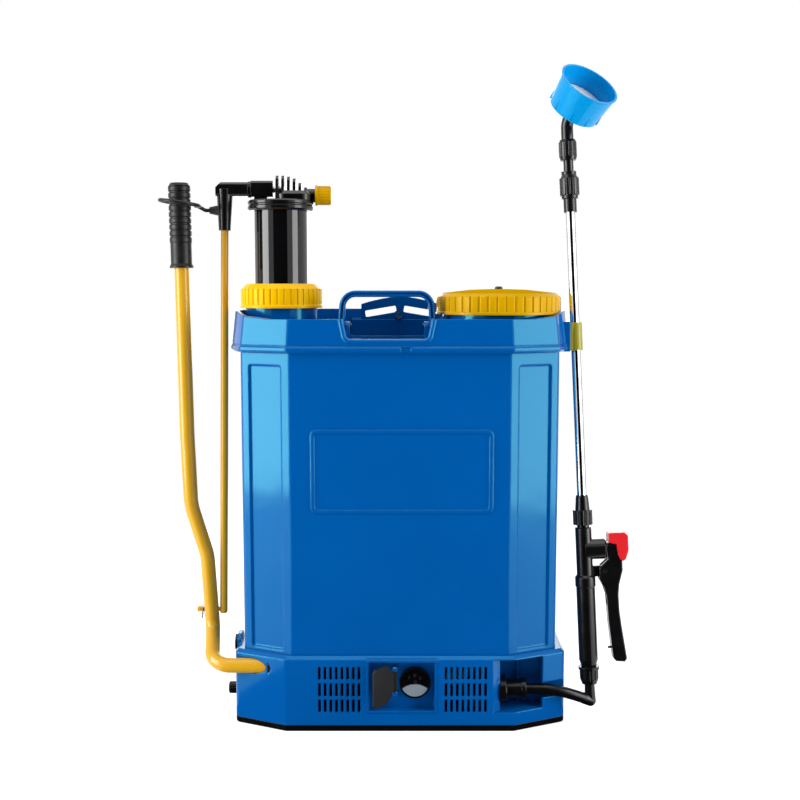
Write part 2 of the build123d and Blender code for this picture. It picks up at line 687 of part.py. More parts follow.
def make_tank_drain():
    floor = BASE_TOP + TANK_WALL
    low = BASE_TOP - BASE_ROOF
    tube = ring_z(DRAIN_R, 4.5, low - 12.0, floor + 3.0, *DRAIN_AT)
    return tube + ring_z(13.0, 4.5, floor, floor + 3.0, *DRAIN_AT)


def make_drain_nut():
    low = BASE_TOP - BASE_ROOF
    nut = extrude(Pos(*DRAIN_AT, low - 6.0) * RegularPolygon(14.0, 6), 6.0)
    return nut - rod_z(DRAIN_R + FIT_GAP, low - 7, low + 1, *DRAIN_AT)


# ---------------------------------------------------------------- carry handle and strap plate
def handle_lug(x):
    """The ear beside a leg of the carry handle, on the tray's deck."""
    away = HANDLE_W / 2 + LUG_GAP
    inner = x + away if x < NOTCH_X else x - away - LUG_T
    lug = block((inner, inner + LUG_T), (HANDLE_Y - LUG_R, HANDLE_Y + LUG_R), (DECK_Z - 1, HANDLE_PIVOT_Z))
    lug += rod_x(LUG_R, inner, inner + LUG_T, HANDLE_Y, HANDLE_PIVOT_Z)
    return lug - rod_x(HANDLE_PIN_R + FIT_GAP, inner - 1, inner + LUG_T + 1, HANDLE_Y, HANDLE_PIVOT_Z)


def make_handle_pins():
    pins = []
    for x, side in zip(HANDLE_X, (-1, 1)):
        outer = x + side * HANDLE_W / 2
        inner = x - side * (HANDLE_W / 2 + LUG_GAP + LUG_T)
        pin = rod_x(HANDLE_PIN_R, min(inner, outer), max(inner, outer), HANDLE_Y, HANDLE_PIVOT_Z)
        head_x = sorted((inner, inner - side * 1.5))
        pins.append(pin + rod_x(HANDLE_PIN_R + 1.5, *head_x, HANDLE_Y, HANDLE_PIVOT_Z))
    return pins


def make_carry_handle():
    left, right = HANDLE_X
    corners = [(left, HANDLE_PIVOT_Z), (left + HANDLE_LEAN, HANDLE_TOP_Z),
               (right - HANDLE_LEAN, HANDLE_TOP_Z), (right, HANDLE_PIVOT_Z)]
    path = FilletPolyline(*[(x, HANDLE_Y, z) for x, z in corners], radius=HANDLE_BEND)
    start = Plane(origin=path @ 0, x_dir=(0, 1, 0), z_dir=path % 0)
    loop = sweep(start * RectangleRounded(HANDLE_D, HANDLE_W, 2.5), path)
    groove = sweep(start * (Pos(-HANDLE_D / 2, 0) * Rectangle(5.0, 2.4)), path)
    loop -= groove
    for x in HANDLE_X:
        loop += rod_x(7.0, x - HANDLE_W / 2, x + HANDLE_W / 2, HANDLE_Y, HANDLE_PIVOT_Z)
    for x in HANDLE_X:
        loop -= rod_x(HANDLE_PIN_R + SHAFT_GAP, x - HANDLE_W, x + HANDLE_W, HANDLE_Y, HANDLE_PIVOT_Z)
    return loop


def make_strap_plate():
    half = STRAP_HALF
    left = [(-x, z) for x, z in reversed(STRAP_ARCH[1:])]
    top = Spline(*left, *STRAP_ARCH)
    rest = Polyline(STRAP_ARCH[-1], (half, BEAM_TOP), (-half, BEAM_TOP), left[0])
    outline = make_face(top + rest)
    for side in (-1, 1):
        slot = Rot(0, 0, -side * STRAP_SLOT_TILT) * RectangleRounded(*STRAP_SLOT, 1.6)
        outline -= Pos(side * STRAP_SLOT_X, STRAP_SLOT_Z) * slot
    plate = Pos(0, STRAP_Y + STRAP_T / 2, 0) * extrude(Plane.XZ * outline, STRAP_T)
    return plate - rod_y(2.1, STRAP_Y - STRAP_T, STRAP_Y + STRAP_T, *STRAP_SCREW)


def make_strap_screw():
    x, z = STRAP_SCREW
    front = STRAP_Y - STRAP_T / 2
    head = rod_y(4.2, front - 2.6, front, x, z)
    head -= rod_y(1.6, front - 3, front - 1, x, z)
    return head + rod_y(1.8 - FIT_GAP, front, STRAP_Y + STRAP_SCREW_L, x, z)


# ---------------------------------------------------------------- filler
def make_filter_basket():
    r = BASKET_R
    t = BASKET_WALL
    flange = NECK_TOP + BASKET_FLANGE
    foot_r = r - BASKET_TAPER
    knee = BASKET_BOTTOM + BASKET_CONE
    shell = turned([(0, BASKET_BOTTOM), (foot_r, BASKET_BOTTOM), (r, knee), (r, NECK_TOP),
                    (NECK_R - 1, NECK_TOP), (NECK_R - 1, flange), (r - t, flange), (r - t, knee),
                    (foot_r - t, BASKET_BOTTOM + t), (0, BASKET_BOTTOM + t)], LID_X, LID_Y)
    slots = []
    for turn in range(12):
        for row in range(3):
            z = BASKET_BOTTOM + 12 + row * 24
            slot = Rot(0, 0, turn * 30) * block((r - 14, r + 4), (-4.5, 4.5), (z, z + 16))
            slots.append(Pos(LID_X, LID_Y, 0) * slot)
    for turn in range(6):
        hole = rod_z(8.0, BASKET_BOTTOM - 1, BASKET_BOTTOM + 5, BASKET_R / 2, 0)
        slots.append(Pos(LID_X, LID_Y, 0) * Rot(0, 0, turn * 60) * hole)
    return shell - slots


def make_lid():
    r = LID_R
    low, high = LID_Z
    skirt = NECK_R + RUN_GAP
    under = NECK_TOP + BASKET_FLANGE + RUN_GAP + SEAL_T
    dome = high + LID_DOME
    lid = turned([(skirt, low), (r + 0.6, low), (r + 0.6, low + 2.5), (r, low + 3.5), (r, high - 3),
                  (r - 4, high + 1), (r * 0.45, dome - 1), (VENT_R, dome), (VENT_R, under), (skirt, under)],
                 LID_X, LID_Y)
    ribs = []
    for turn in range(LID_RIBS):
        groove = rod_z(2.1, low + 3.5, high - 2, r + 0.9, 0)
        ribs.append(Pos(LID_X, LID_Y, 0) * Rot(0, 0, 360 * turn / LID_RIBS) * groove)
    return lid - ribs


def make_lid_seal():
    low = NECK_TOP + BASKET_FLANGE + RUN_GAP
    return ring_z(NECK_R, NECK_R - 7, low, low + SEAL_T, LID_X, LID_Y)


def make_vent_valve():
    dome = LID_Z[1] + LID_DOME
    low = NECK_TOP + BASKET_FLANGE + RUN_GAP + SEAL_T
    valve = rod_z(VENT_R - FIT_GAP, low - 4, dome + 0.5, LID_X, LID_Y)
    valve += rod_z(4.2, low - 6, low - 3, LID_X, LID_Y)
    top = dome + 2.9
    knob = turned([(0, dome), (4.6, dome), (4.6, top - 1.3), (3.2, top), (0, top)], LID_X, LID_Y)
    return valve + knob


# ---------------------------------------------------------------- lever pump
def make_pump_nut():
    low, high = NUT_Z
    bore = PUMP_NECK_R + FIT_GAP
    hole = CHAMBER_R + RUN_GAP
    seat = PUMP_NECK_TOP + BARREL_FLANGE + GASKET_T
    rim = NUT_R + 0.8
    nut = turned([(bore, low), (rim, low), (rim, low + 3), (NUT_R, low + 4), (NUT_R, high - 6),
                  (NUT_R - 6, high), (hole, high), (hole, seat), (bore, seat)], PUMP_X, PUMP_Y)
    ribs = []
    for turn in range(NUT_RIBS):
        groove = rod_z(1.6, low + 4, high - 6, NUT_R + 0.5, 0)
        ribs.append(Pos(PUMP_X, PUMP_Y, 0) * Rot(0, 0, 360 * turn / NUT_RIBS) * groove)
    return nut - ribs


def make_pump_gasket():
    low = PUMP_NECK_TOP + BARREL_FLANGE
    return ring_z(PUMP_NECK_R - 0.5, CHAMBER_R + RUN_GAP, low, low + GASKET_T, PUMP_X, PUMP_Y)


def barrel_outer():
    return PUMP_NECK_BORE - 1.5


def barrel_bore():
    return barrel_outer() - BARREL_WALL


def make_pump_barrel():
    outer = barrel_outer()
    bore = barrel_bore()
    top = PUMP_NECK_TOP + BARREL_FLANGE
    foot = BARREL_BOTTOM
    return turned([(8.0, foot), (outer, foot), (outer, PUMP_NECK_TOP), (PUMP_NECK_R - 0.5, PUMP_NECK_TOP),
                   (PUMP_NECK_R - 0.5, top), (bore, top), (bore, foot + 4), (8.0, foot + 4)], PUMP_X, PUMP_Y)


def make_foot_valve():
    top = BARREL_BOTTOM
    low = top - VALVE_L
    cage = turned([(VALVE_HOLE_R, low), (VALVE_R, low), (VALVE_R, top), (8.0, top), (8.0, low + 5.0),
                   (VALVE_HOLE_R, low + VALVE_SEAT_H)], PUMP_X, PUMP_Y)
    ports = [Pos(PUMP_X, PUMP_Y, 0) * Rot(0, 0, a) * rod_x(3.0, 6, 20, 0, top - 6) for a in (0, 90, 180, 270)]
    return cage - ports


def make_valve_ball():
    seat_z = BARREL_BOTTOM - VALVE_L + VALVE_SEAT_H
    rise = sqrt(BALL_R ** 2 - VALVE_HOLE_R ** 2)
    return Pos(PUMP_X, PUMP_Y, seat_z + rise + 0.02) * Sphere(BALL_R)


def make_air_chamber():
    low, high = CHAMBER_Z
    r = CHAMBER_R
    t = CHAMBER_WALL
    return turned([(PISTON_BORE_R, low), (r, low), (r, high), (r - t, high), (r - t, low + 4),
                   (PISTON_BORE_R, low + 4)], PUMP_X, PUMP_Y)


def make_piston_cup():
    high = CHAMBER_Z[0]
    bore = barrel_bore()
    lip = bore - 0.3
    low = high - PISTON_T
    return turned([(PISTON_BORE_R, low + 5), (lip - 6, low + 5), (lip - 1, low), (lip, low), (lip, high - 2),
                   (lip - 2, high), (PISTON_BORE_R, high)], PUMP_X, PUMP_Y)


def make_piston_screw():
    high = CHAMBER_Z[0]
    low = high - PISTON_T + 5
    screw = ring_z(PISTON_BORE_R - FIT_GAP, PISTON_SCREW_BORE_R, low, high + 8, PUMP_X, PUMP_Y)
    screw += ring_z(PISTON_FLANGE_R, PISTON_SCREW_BORE_R, low - 4, low, PUMP_X, PUMP_Y)
    return screw + ring_z(PISTON_FLANGE_R, PISTON_SCREW_BORE_R, high + 4, high + 8, PUMP_X, PUMP_Y)


def make_chamber_head():
    low, high = HEAD_Z
    r = HEAD_R
    spigot = CHAMBER_R - CHAMBER_WALL - FIT_GAP
    head = turned([(0, low - 10), (spigot, low - 10), (spigot, low), (r - 2, low), (r, low + 2), (r, low + 5),
                   (r - 1, low + 6), (r - 1, low + 7), (r, low + 8), (r, high - 1.5), (r - 1.5, high),
                   (0, high)], PUMP_X, PUMP_Y)
    dome = block(DOME_X, (PUMP_Y - DOME_HALF, PUMP_Y + DOME_HALF), (high - 1, DOME_TOP))
    dome = fillet(dome.edges().filter_by(Axis.Z), 12.0)
    dome = chamfer(dome.faces().sort_by(Axis.Z)[-1].edges(), 4.0)
    head += dome
    for index, top in enumerate(FIN_TOPS):
        x = FIN_FIRST_X + index * FIN_PITCH
        deep = 21.0 - index * 2.4
        right = [(PUMP_Y + deep * 0.5, top), (PUMP_Y + deep * 0.75, top - 4), (PUMP_Y + deep, high)]
        left = [(2 * PUMP_Y - y, z) for y, z in reversed(right)]
        fin = extrude(Plane.YZ * make_face(Polyline(*left, *right, close=True)), FIN_T / 2, both=True)
        head += Pos(x, 0, 0) * fin
    head += rod_x(SPOUT_R, DOME_X[1] - 8, CAP_X[0] - 0.4, PUMP_Y, CAP_Z)
    head += rod_x(SPOUT_R - 1.5, DOME_X[1], CAP_X[1] - 4, PUMP_Y, CAP_Z)
    # clearance bay for the bracket and the seat of its pin
    head -= rod_x(ARM_PIN_R + FIT_GAP, DOME_X[0] - 2, FIN_FIRST_X + 5, PUMP_Y, JOURNAL_Z)
    return head


def make_arm_bracket():
    z = HEAD_Z[1]
    column = block((PUMP_X - 30.0, PUMP_X - 15.0), (PUMP_Y - 8, PUMP_Y + 8), (z, z + 6))
    across = (ELBOW_RIGHT_X + RUN_GAP, DOME_X[0] - 3.5)
    head = block(across, (PUMP_Y - 9.5, PUMP_Y + 9.5), (z + 4, JOURNAL_Z + 9.5))
    head = chamfer(head.edges().filter_by(Axis.X), 2.5)
    return column + head - rod_x(ARM_PIN_R + FIT_GAP, PUMP_X - 41, PUMP_X - 1, PUMP_Y, JOURNAL_Z)


def make_arm_pin():
    return rod_x(ARM_PIN_R, LINK_TOP_X - 4, FIN_FIRST_X + 4.5, PUMP_Y, JOURNAL_Z)


def make_outlet_cap():
    low, high = CAP_X
    cap = rod_x(CAP_R - 0.8, low, high, PUMP_Y, CAP_Z) + rod_x(CAP_R, low, low + 3, PUMP_Y, CAP_Z)
    cap = chamfer(cap.faces().sort_by(Axis.X)[-1].edges(), 1.5)
    groove = rod_x(0.9, low + 4, high - 1.6, 0, CAP_R - 0.5)
    ribs = [Pos(0, PUMP_Y, CAP_Z) * Rot(angle, 0, 0) * groove for angle in range(0, 360, 18)]
    bore = rod_x(SPOUT_R - 1.5 + RUN_GAP, low - 1, high - 3.5, PUMP_Y, CAP_Z)
    return cap - ribs - bore


# ---------------------------------------------------------------- link and lever
pin_y = LEVER_Y + LEVER_ARM * sin(radians(LEVER_REST))
pin_z = LEVER_Z + LEVER_ARM * cos(radians(LEVER_REST))
link_top = Vector(LINK_TOP_X, PUMP_Y, JOURNAL_Z)
link_foot = Vector(LINK_FOOT_X, pin_y, pin_z)
link_dir = (link_foot - link_top).normalized()


def link_frame(drop):
    """A plane across the link, the given distance below its journal."""
    side = Vector(1, 0, 0) - link_dir * link_dir.X
    return Plane(origin=link_top + link_dir * drop, x_dir=side.normalized(), z_dir=link_dir)


def make_link_elbow():
    arm = block((LINK_TOP_X - 10, ELBOW_RIGHT_X), (PUMP_Y - 8, PUMP_Y + 8), (JOURNAL_Z - 8, JOURNAL_Z + 8))
    arm = chamfer(arm.edges().filter_by(Axis.X), 2.5)
    arm = chamfer(arm.edges().filter_by(Axis.Y).group_by(Axis.X)[0].sort_by(Axis.Z)[-1], 6.0)
    band = rod_x(9.4, ELBOW_RIGHT_X - 3.5, ELBOW_RIGHT_X, PUMP_Y, JOURNAL_Z)
    leg = link_frame(0) * Cone(9.6, ELBOW_FOOT_R, ELBOW_LEG, align=STANDING)
    boss_z = HOOK_Z - 7.0
    boss = Pos(LINK_TOP_X - 18, PUMP_Y, boss_z) * Rot(0, 90, 0) * Cone(4.0, 7.5, 16.0, align=STANDING)
    elbow = arm + band + leg + boss
    elbow -= rod_x(ARM_PIN_R + SHAFT_GAP, LINK_TOP_X - 4.5, ELBOW_RIGHT_X + 1, PUMP_Y, JOURNAL_Z)
    elbow -= link_frame(14) * Cylinder(LINK_R + FIT_GAP, ELBOW_LEG, align=STANDING)
    return elbow - rod_x(HOOK_WIRE_R + FIT_GAP, LINK_TOP_X - 19, LINK_TOP_X - 11, PUMP_Y, boss_z)


def make_link_rod():
    length = (link_foot - link_top).length
    rod = link_frame(14) * Cylinder(LINK_R, length - 14 + 5, align=STANDING)
    rod = fillet(rod.edges().sort_by(Axis.Z)[0], 2.5)
    pin = rod_x(LINK_PIN_R, LINK_PIN_END_X, LINK_FOOT_X, pin_y, pin_z)
    tip = rod_x(LINK_PIN_R + 0.9, LINK_PIN_END_X, LINK_PIN_END_X + 3.5, pin_y, pin_z)
    return rod + pin + tip - rod_z(0.9, pin_z - 8, pin_z + 8, LINK_PIN_END_X + 5.0, pin_y)


def make_link_cotter():
    x = LINK_PIN_END_X + 5.0
    shank = rod_z(0.7, pin_z - 5.9, pin_z + 5, x, pin_y)
    eye = Pos(x, pin_y, pin_z - 8.4) * Rot(0, 0, 90) * Rot(90, 0, 0) * Torus(2.6, 0.85)
    return shank + eye


def make_link_washer():
    x = LEVER_FACE_X - 0.5
    return rod_x(6.0, x - 1.2, x, pin_y, pin_z) - rod_x(LINK_PIN_R + FIT_GAP, x - 2, x + 1, pin_y, pin_z)


lever_up_y = LEVER_Y + LEVER_BACK
LEVER_ROUTE = (
    (BUSH_X[1] + 7.0, LEVER_Y, LEVER_Z),
    (-BASE_HALF - 25.6, LEVER_Y, LEVER_Z),
    (-BASE_HALF - 33.2, lever_up_y, LEVER_Z + 27.5),
    (-BASE_HALF - 38.5, lever_up_y, 186.0),
    (-BASE_HALF - 56.5, lever_up_y, 246.0),
    (-BASE_HALF - 59.5, lever_up_y, 330.0),
    (-BASE_HALF - 63.0, lever_up_y, 606.0),
)
LEVER_RADII = (24.0, 19.0, 60.0, 70.0, 200.0)
LEVER_FACE_X = -BASE_HALF - 34.7 - LEVER_R      # the lever's outer side where the link crosses it


def make_pump_lever():
    path = FilletPolyline(*LEVER_ROUTE, radius=list(LEVER_RADII))
    start = Plane(origin=path @ 0, z_dir=path % 0)
    tube = sweep(start * (Circle(LEVER_R) - Circle(LEVER_R - LEVER_WALL)), path)
    sagitta = LEVER_ARM * (1 - cos(radians(LEVER_SWING / 2)))
    slip = LEVER_ARM * sin(radians(0.45)) + 0.35
    width = 2 * (LINK_PIN_R + slip)
    inward = Vector(0, LEVER_Y - pin_y, LEVER_Z - pin_z).normalized()
    middle = Vector(0, pin_y, pin_z) + inward * (sagitta / 2)
    slot_plane = Plane(origin=(LEVER_FACE_X - 5, middle.Y, middle.Z), x_dir=tuple(inward), z_dir=(1, 0, 0))
    slot = extrude(slot_plane * SlotCenterToCenter(sagitta, width), 30)
    return tube - slot


def lever_top(z):
    """The point of the lever's straight upper part at height z."""
    low = Vector(*LEVER_ROUTE[-2])
    high = Vector(*LEVER_ROUTE[-1])
    return low + (high - low) * ((z - low.Z) / (high.Z - low.Z))


def make_lever_grip():
    foot = lever_top(GRIP_BOTTOM)
    direction = (lever_top(GRIP_BOTTOM + 10) - foot).normalized()
    frame = Plane(origin=foot, x_dir=(1, 0, 0), z_dir=direction)
    r = GRIP_R
    bore = LEVER_R + FIT_GAP
    depth = (LEVER_ROUTE[-1][2] - GRIP_BOTTOM) + 0.2
    points = [(bore, 0), (r + 1.0, 0), (r + 1.0, 2), (r - 0.4, 5), (r - 0.4, 28)]
    for ring in range(9):
        z = 30 + ring * 7.2
        points += [(r + 0.2, z), (r + 0.2, z + 4.4), (r - 0.8, z + 5.2), (r - 0.8, z + 6.2)]
    points += [(r, GRIP_L - 4.0), (r - 2.5, GRIP_L), (0, GRIP_L), (0, depth), (bore, depth)]
    profile = Plane.XZ * make_face(Polyline(*points, close=True))
    return frame * revolve(profile, Axis.Z)


def make_lever_bush():
    low, high = BUSH_X
    bush = rod_x(LEVER_R + BUSH_WALL - FIT_GAP, low, high, LEVER_Y, LEVER_Z)
    bush += rod_x(LEVER_R + BUSH_WALL + 1.0, high, high + 1.5, LEVER_Y, LEVER_Z)
    return bush - rod_x(LEVER_R + SHAFT_GAP, low - 1, high + 3, LEVER_Y, LEVER_Z)


def make_lever_collar():
    low = BUSH_X[1] + 1.5 + RUN_GAP
    collar = rod_x(LEVER_R + BUSH_WALL + 0.8, low, low + 4.5, LEVER_Y, LEVER_Z)
    return collar - rod_x(LEVER_R + FIT_GAP, low - 1, low + 6, LEVER_Y, LEVER_Z)


def make_grip_hook():
    centre = lever_top(HOOK_Z)
    flat = Plane(origin=centre, x_dir=(cos(radians(HOOK_TILT)), 0, -sin(radians(HOOK_TILT))),
                 z_dir=(sin(radians(HOOK_TILT)), 0, cos(radians(HOOK_TILT))))
    arc = CenterArc((0, 0), HOOK_R, 90 + HOOK_MOUTH, 360 - 2 * HOOK_MOUTH)
    start = Plane(origin=arc @ 0, x_dir=(0, 0, 1), z_dir=arc % 0)
    loop = flat * sweep(start * Circle(HOOK_WIRE_R), arc)
    joint = Vector(LINK_TOP_X - 18, PUMP_Y, HOOK_Z - 7.0)
    side = flat.from_local_coords(Vector(HOOK_R * cos(radians(35)), HOOK_R * sin(radians(35)), 0))
    bend = Vector(LINK_TOP_X - 23, PUMP_Y, HOOK_Z - 7.0)
    tail_path = FilletPolyline(tuple(side), tuple(bend), (joint.X + 6.5, joint.Y, joint.Z), radius=3.0)
    tail_start = Plane(origin=tail_path @ 0, z_dir=tail_path % 0)
    return loop + sweep(tail_start * Circle(HOOK_WIRE_R - 0.02), tail_path)


# ---------------------------------------------------------------- outlet, hose and its tail
def make_outlet_fitting():
    flange_end = BAY_LEFT + OUTLET_FLANGE_T
    body = rod_x(OUTLET_FLANGE_R, BAY_LEFT, flange_end, OUTLET_Y, OUTLET_Z)
    body = chamfer(body.faces().sort_by(Axis.X)[-1].edges(), 1.5)
    body += rod_x(OUTLET_SHANK_R, BAY_LEFT - 16, BAY_LEFT, OUTLET_Y, OUTLET_Z)
    body += rod_x(OUTLET_NUT_R - 2.5, flange_end, flange_end + OUTLET_NUT_L - 6, OUTLET_Y, OUTLET_Z)
    return body - rod_x(3.5, BAY_LEFT - 17, flange_end + OUTLET_NUT_L, OUTLET_Y, OUTLET_Z)


def make_outlet_nut():
    low = BAY_LEFT + OUTLET_FLANGE_T
    high = OUTLET_NUT_END
    nut = rod_x(OUTLET_NUT_R, low, high, OUTLET_Y, OUTLET_Z)
    nut += rod_x(OUTLET_NUT_R + 1.6, high - 5.5, high - 1.0, OUTLET_Y, OUTLET_Z)
    nut -= rod_x(OUTLET_NUT_R - 2.5 + FIT_GAP, low - 1, low + OUTLET_NUT_L - 6, OUTLET_Y, OUTLET_Z)
    nut -= rod_x(HOSE_R + FIT_GAP, HOSE_ROUTE[0][0], high + 1, OUTLET_Y, OUTLET_Z)
    return nut - rod_x(3.5, low, high + 1, OUTLET_Y, OUTLET_Z)


def make_outlet_lock_nut():
    low = BAY_LEFT - BASE_WALL
    nut = extrude(Plane(origin=(low - 6, OUTLET_Y, OUTLET_Z), z_dir=(1, 0, 0)) * RegularPolygon(10.2, 6), 6.0)
    return nut - rod_x(OUTLET_SHANK_R + FIT_GAP, low - 7, low + 1, OUTLET_Y, OUTLET_Z)


def route_radii(points, share):
    """The largest arc at each corner that its two runs allow."""
    radii = []
    spots = [Vector(*point) for point in points]
    for before, corner, after in zip(spots, spots[1:], spots[2:]):
        turn = radians((corner - before).get_angle(after - corner))
        shorter = min((corner - before).length, (after - corner).length)
        radii.append(share * shorter / tan(turn / 2))
    return radii


def make_delivery_hose():
    radii = route_radii(HOSE_ROUTE, HOSE_BEND_SHARE)
    path = FilletPolyline(*HOSE_ROUTE, radius=radii)
    start = Plane(origin=path @ 0, z_dir=path % 0)
    hose = sweep(start * Circle(HOSE_R), path)
    section = start * Circle(HOSE_R)
    print("hose length", round(path.length, 2), "radii", [round(r, 1) for r in radii],
          "volume share", round(hose.volume / (section.area * path.length), 5))
    return hose


def make_hose_tail():
    """The elbow that carries the hose at the foot of the handle."""
    end = Vector(*HOSE_ROUTE[-1])
    into = (end - Vector(*HOSE_ROUTE[-2])).normalized()
    corner = end + into * TAIL_REACH
    barb = Plane(origin=end, z_dir=into) * Cylinder(HOSE_R + 0.3, TAIL_REACH, align=STANDING)
    stub_top = on_lance(TAIL_TOP_Z)
    rise = stub_top - corner
    stub = Plane(origin=corner, z_dir=rise.normalized()) * Cone(6.4, 5.0, rise.length, align=STANDING)
    return barb + stub + Pos(*corner) * Sphere(HOSE_R + 0.4)


# ---------------------------------------------------------------- lance
def on_axis(shape):
    return lance * shape


def make_lance_tube():
    low, high = up(LANCE_Z[0]), up(LANCE_Z[1])
    return on_axis(ring_z(LANCE_R, LANCE_R - LANCE_WALL, low, high))


def make_handle_bottom_nut():
    low, high = up(46.0), up(66.0)
    nut = turned([(6.5, low), (8.6, low), (10.6, low + 6), (10.8, high - 3), (12.0, high - 3), (12.0, high),
                  (6.5, high)])
    ribs = [Rot(0, 0, turn * 30) * rod_z(1.3, low + 1, high - 3.5, 11.2, 0) for turn in range(12)]
    return on_axis(nut - ribs)


def make_handle_body():
    r = HANDLE_BODY_R
    neck = HANDLE_NECK_R
    low = up(66.0)
    body = turned([(0, low), (8.5, low), (r, low + 8), (r, up(158)), (r + 0.9, up(159)), (r + 0.9, up(169)),
                   (r, up(170.5)), (neck, up(172)), (neck, up(226)), (neck - 1, up(227)), (0, up(227))])
    body += rod_z(7.0, up(226), up(240))
    housing = rod_x(HOUSING_R, 0, HOUSING_END, 0, up(STEM_Z))
    housing = chamfer(housing.faces().sort_by(Axis.X)[-1].edges(), 2.0)
    pivot_x, pivot_z = TRIGGER_PIVOT
    lug = block((0, pivot_x), (-3.0, 3.0), (up(pivot_z) - 6.5, up(pivot_z) + 6.0))
    lug += Pos(0, 0, up(pivot_z)) * rod_y(6.2, -3.0, 3.0, pivot_x, 0)
    body += housing + lug
    body -= Pos(0, 0, up(pivot_z)) * rod_y(TRIGGER_PIN_R + SHAFT_GAP, -4, 4, pivot_x, 0)
    body -= rod_x(STEM_R + SHAFT_GAP, 0, HOUSING_END + 2, 0, up(STEM_Z))
    body -= rod_x(STEM_DISC_R + RUN_GAP, STEM_START - 1, STEM_START + 14, 0, up(STEM_Z))
    return on_axis(body)


def make_trigger_pin():
    pivot_x, pivot_z = TRIGGER_PIVOT
    half = TRIGGER_W / 2
    return on_axis(rod_y(TRIGGER_PIN_R, -half, half, pivot_x, up(pivot_z)))


def trigger_outline():
    """Side view of the trigger, (across, height) in the lance's frame."""
    heights = [(24.5, 188), (26.0, 189.5), (26.0, 207.5), (28.0, 209.5), (40.0, 210), (42.6, 205),
               (42.6, 176), (38.0, 160), (36.7, 148), (37.0, 130), (38.8, 112), (43.6, 74), (41.0, 70.5),
               (31.0, 71.5), (28.0, 75), (24.2, 118), (23.0, 148), (20.0, 158), (15.5, 167), (15.5, 180)]
    return make_face(Polyline(*[(x, up(z)) for x, z in heights], close=True))


def side_edges(shape, half):
    """The edges that lie on the two sides of a plate of the given half thickness."""
    return shape.edges().filter_by(lambda edge: abs(abs(edge.center().Y) - half) < 0.01)


def make_trigger_lever():
    half = TRIGGER_W / 2
    pivot_x, pivot_z = TRIGGER_PIVOT
    trigger = extrude(Plane.XZ * trigger_outline(), half, both=True)
    trigger = chamfer(side_edges(trigger, half), 1.2)
    # the channel that straddles the handle's lug, and the slot that the valve stem passes
    lug_room = 3.0 + RUN_GAP
    trigger -= block((0, pivot_x + 7.2), (-lug_room, lug_room), (up(pivot_z) - 40, up(pivot_z) + 20))
    trigger -= rod_y(TRIGGER_PIN_R + SHAFT_GAP, -half - 1, half + 1, pivot_x, up(pivot_z))
    stem_room = STEM_R + 0.6
    middle = up(STEM_Z)
    trigger -= block((20, 45), (-stem_room, stem_room), (middle - stem_room, middle + stem_room + STEM_LIFT))
    hook = block((23.0, 29.5), (-1.2, 1.2), (up(87) - 1.2, up(87) + 1.2))
    guide = block(LATCH_GUIDE_X, (-LATCH_GUIDE_HALF, LATCH_GUIDE_HALF),
                  (up(LATCH_GUIDE_Z[0]), up(LATCH_GUIDE_Z[1])))
    return on_axis(trigger + hook + guide)


def make_trigger_latch():
    """A cap over the trigger's head, with a cheek down each side of it."""
    heights = [(27.4, 208.5), (27.4, 218.2), (28.8, 219.8), (46.0, 219.8), (50.0, 215.8), (50.0, 199),
               (46.5, 189), (43.6, 187.0), (40.0, 188.5), (37.5, 194), (36.0, 206.5)]
    half = LATCH_HALF
    outline = make_face(Polyline(*[(x, up(z)) for x, z in heights], close=True))
    latch = extrude(Plane.XZ * outline, half, both=True)
    latch = chamfer(side_edges(latch, half), LATCH_BEVEL)
    # room for the head between the cheeks
    inner = TRIGGER_W / 2 + LATCH_RUN
    latch -= block((20.0, LATCH_BACK_X), (-inner, inner), (up(180), up(210.4)))
    low, high = LATCH_GUIDE_X
    room = SHAFT_GAP
    latch -= block((low - room, high + room), (-LATCH_GUIDE_HALF - room, LATCH_GUIDE_HALF + room),
                   (up(LATCH_GUIDE_Z[0] - 3.0), up(LATCH_GUIDE_Z[1]) + RUN_GAP))
    return on_axis(latch)


def make_valve_stem():
    z = up(STEM_Z)
    stem = rod_x(STEM_R, STEM_START, STEM_END, 0, z)
    return on_axis(stem + rod_x(STEM_DISC_R, STEM_START, STEM_START + 2.0, 0, z))


def make_lance_top_nut():
    low, high = up(230.0), up(247.0)
    nut = ring_z(11.2, 7.0 + FIT_GAP, low, up(240.0)) + ring_z(11.2, LANCE_R + FIT_GAP, up(240.0), high)
    ribs = [Rot(0, 0, turn * 30) * rod_z(1.4, low - 1, high + 1, 12.0, 0) for turn in range(12)]
    return on_axis(nut - ribs)


def make_lance_collar():
    low, high = up(247.0), up(264.0)
    bore = LANCE_R + FIT_GAP
    return on_axis(turned([(bore, low), (8.4, low), (7.2, high - 3), (6.4, high), (bore, high)]))


def make_upper_collar():
    low = up(587.0)
    bore = LANCE_R + FIT_GAP
    return on_axis(turned([(bore, low), (7.6, low), (7.6, up(602)), (9.6, up(602.4)), (9.6, up(606)),
                           (bore, up(606))]))


def make_upper_nut():
    low = up(606.4)
    high = up(633.0)
    bore = LANCE_R + FIT_GAP
    nut = turned([(bore, low), (11.3, low), (11.3, high - 8), (8.6, high - 4), (8.6, high), (5.9, high),
                  (5.9, up(613)), (bore, up(613))])
    ribs = [Rot(0, 0, turn * 24) * rod_z(1.2, low - 1, high - 8, 12.0, 0) for turn in range(15)]
    return on_axis(nut - ribs)


def make_lance_extension():
    return on_axis(rod_z(5.8, up(613.2), up(655.0)) - rod_z(3.0, up(612), up(656)))


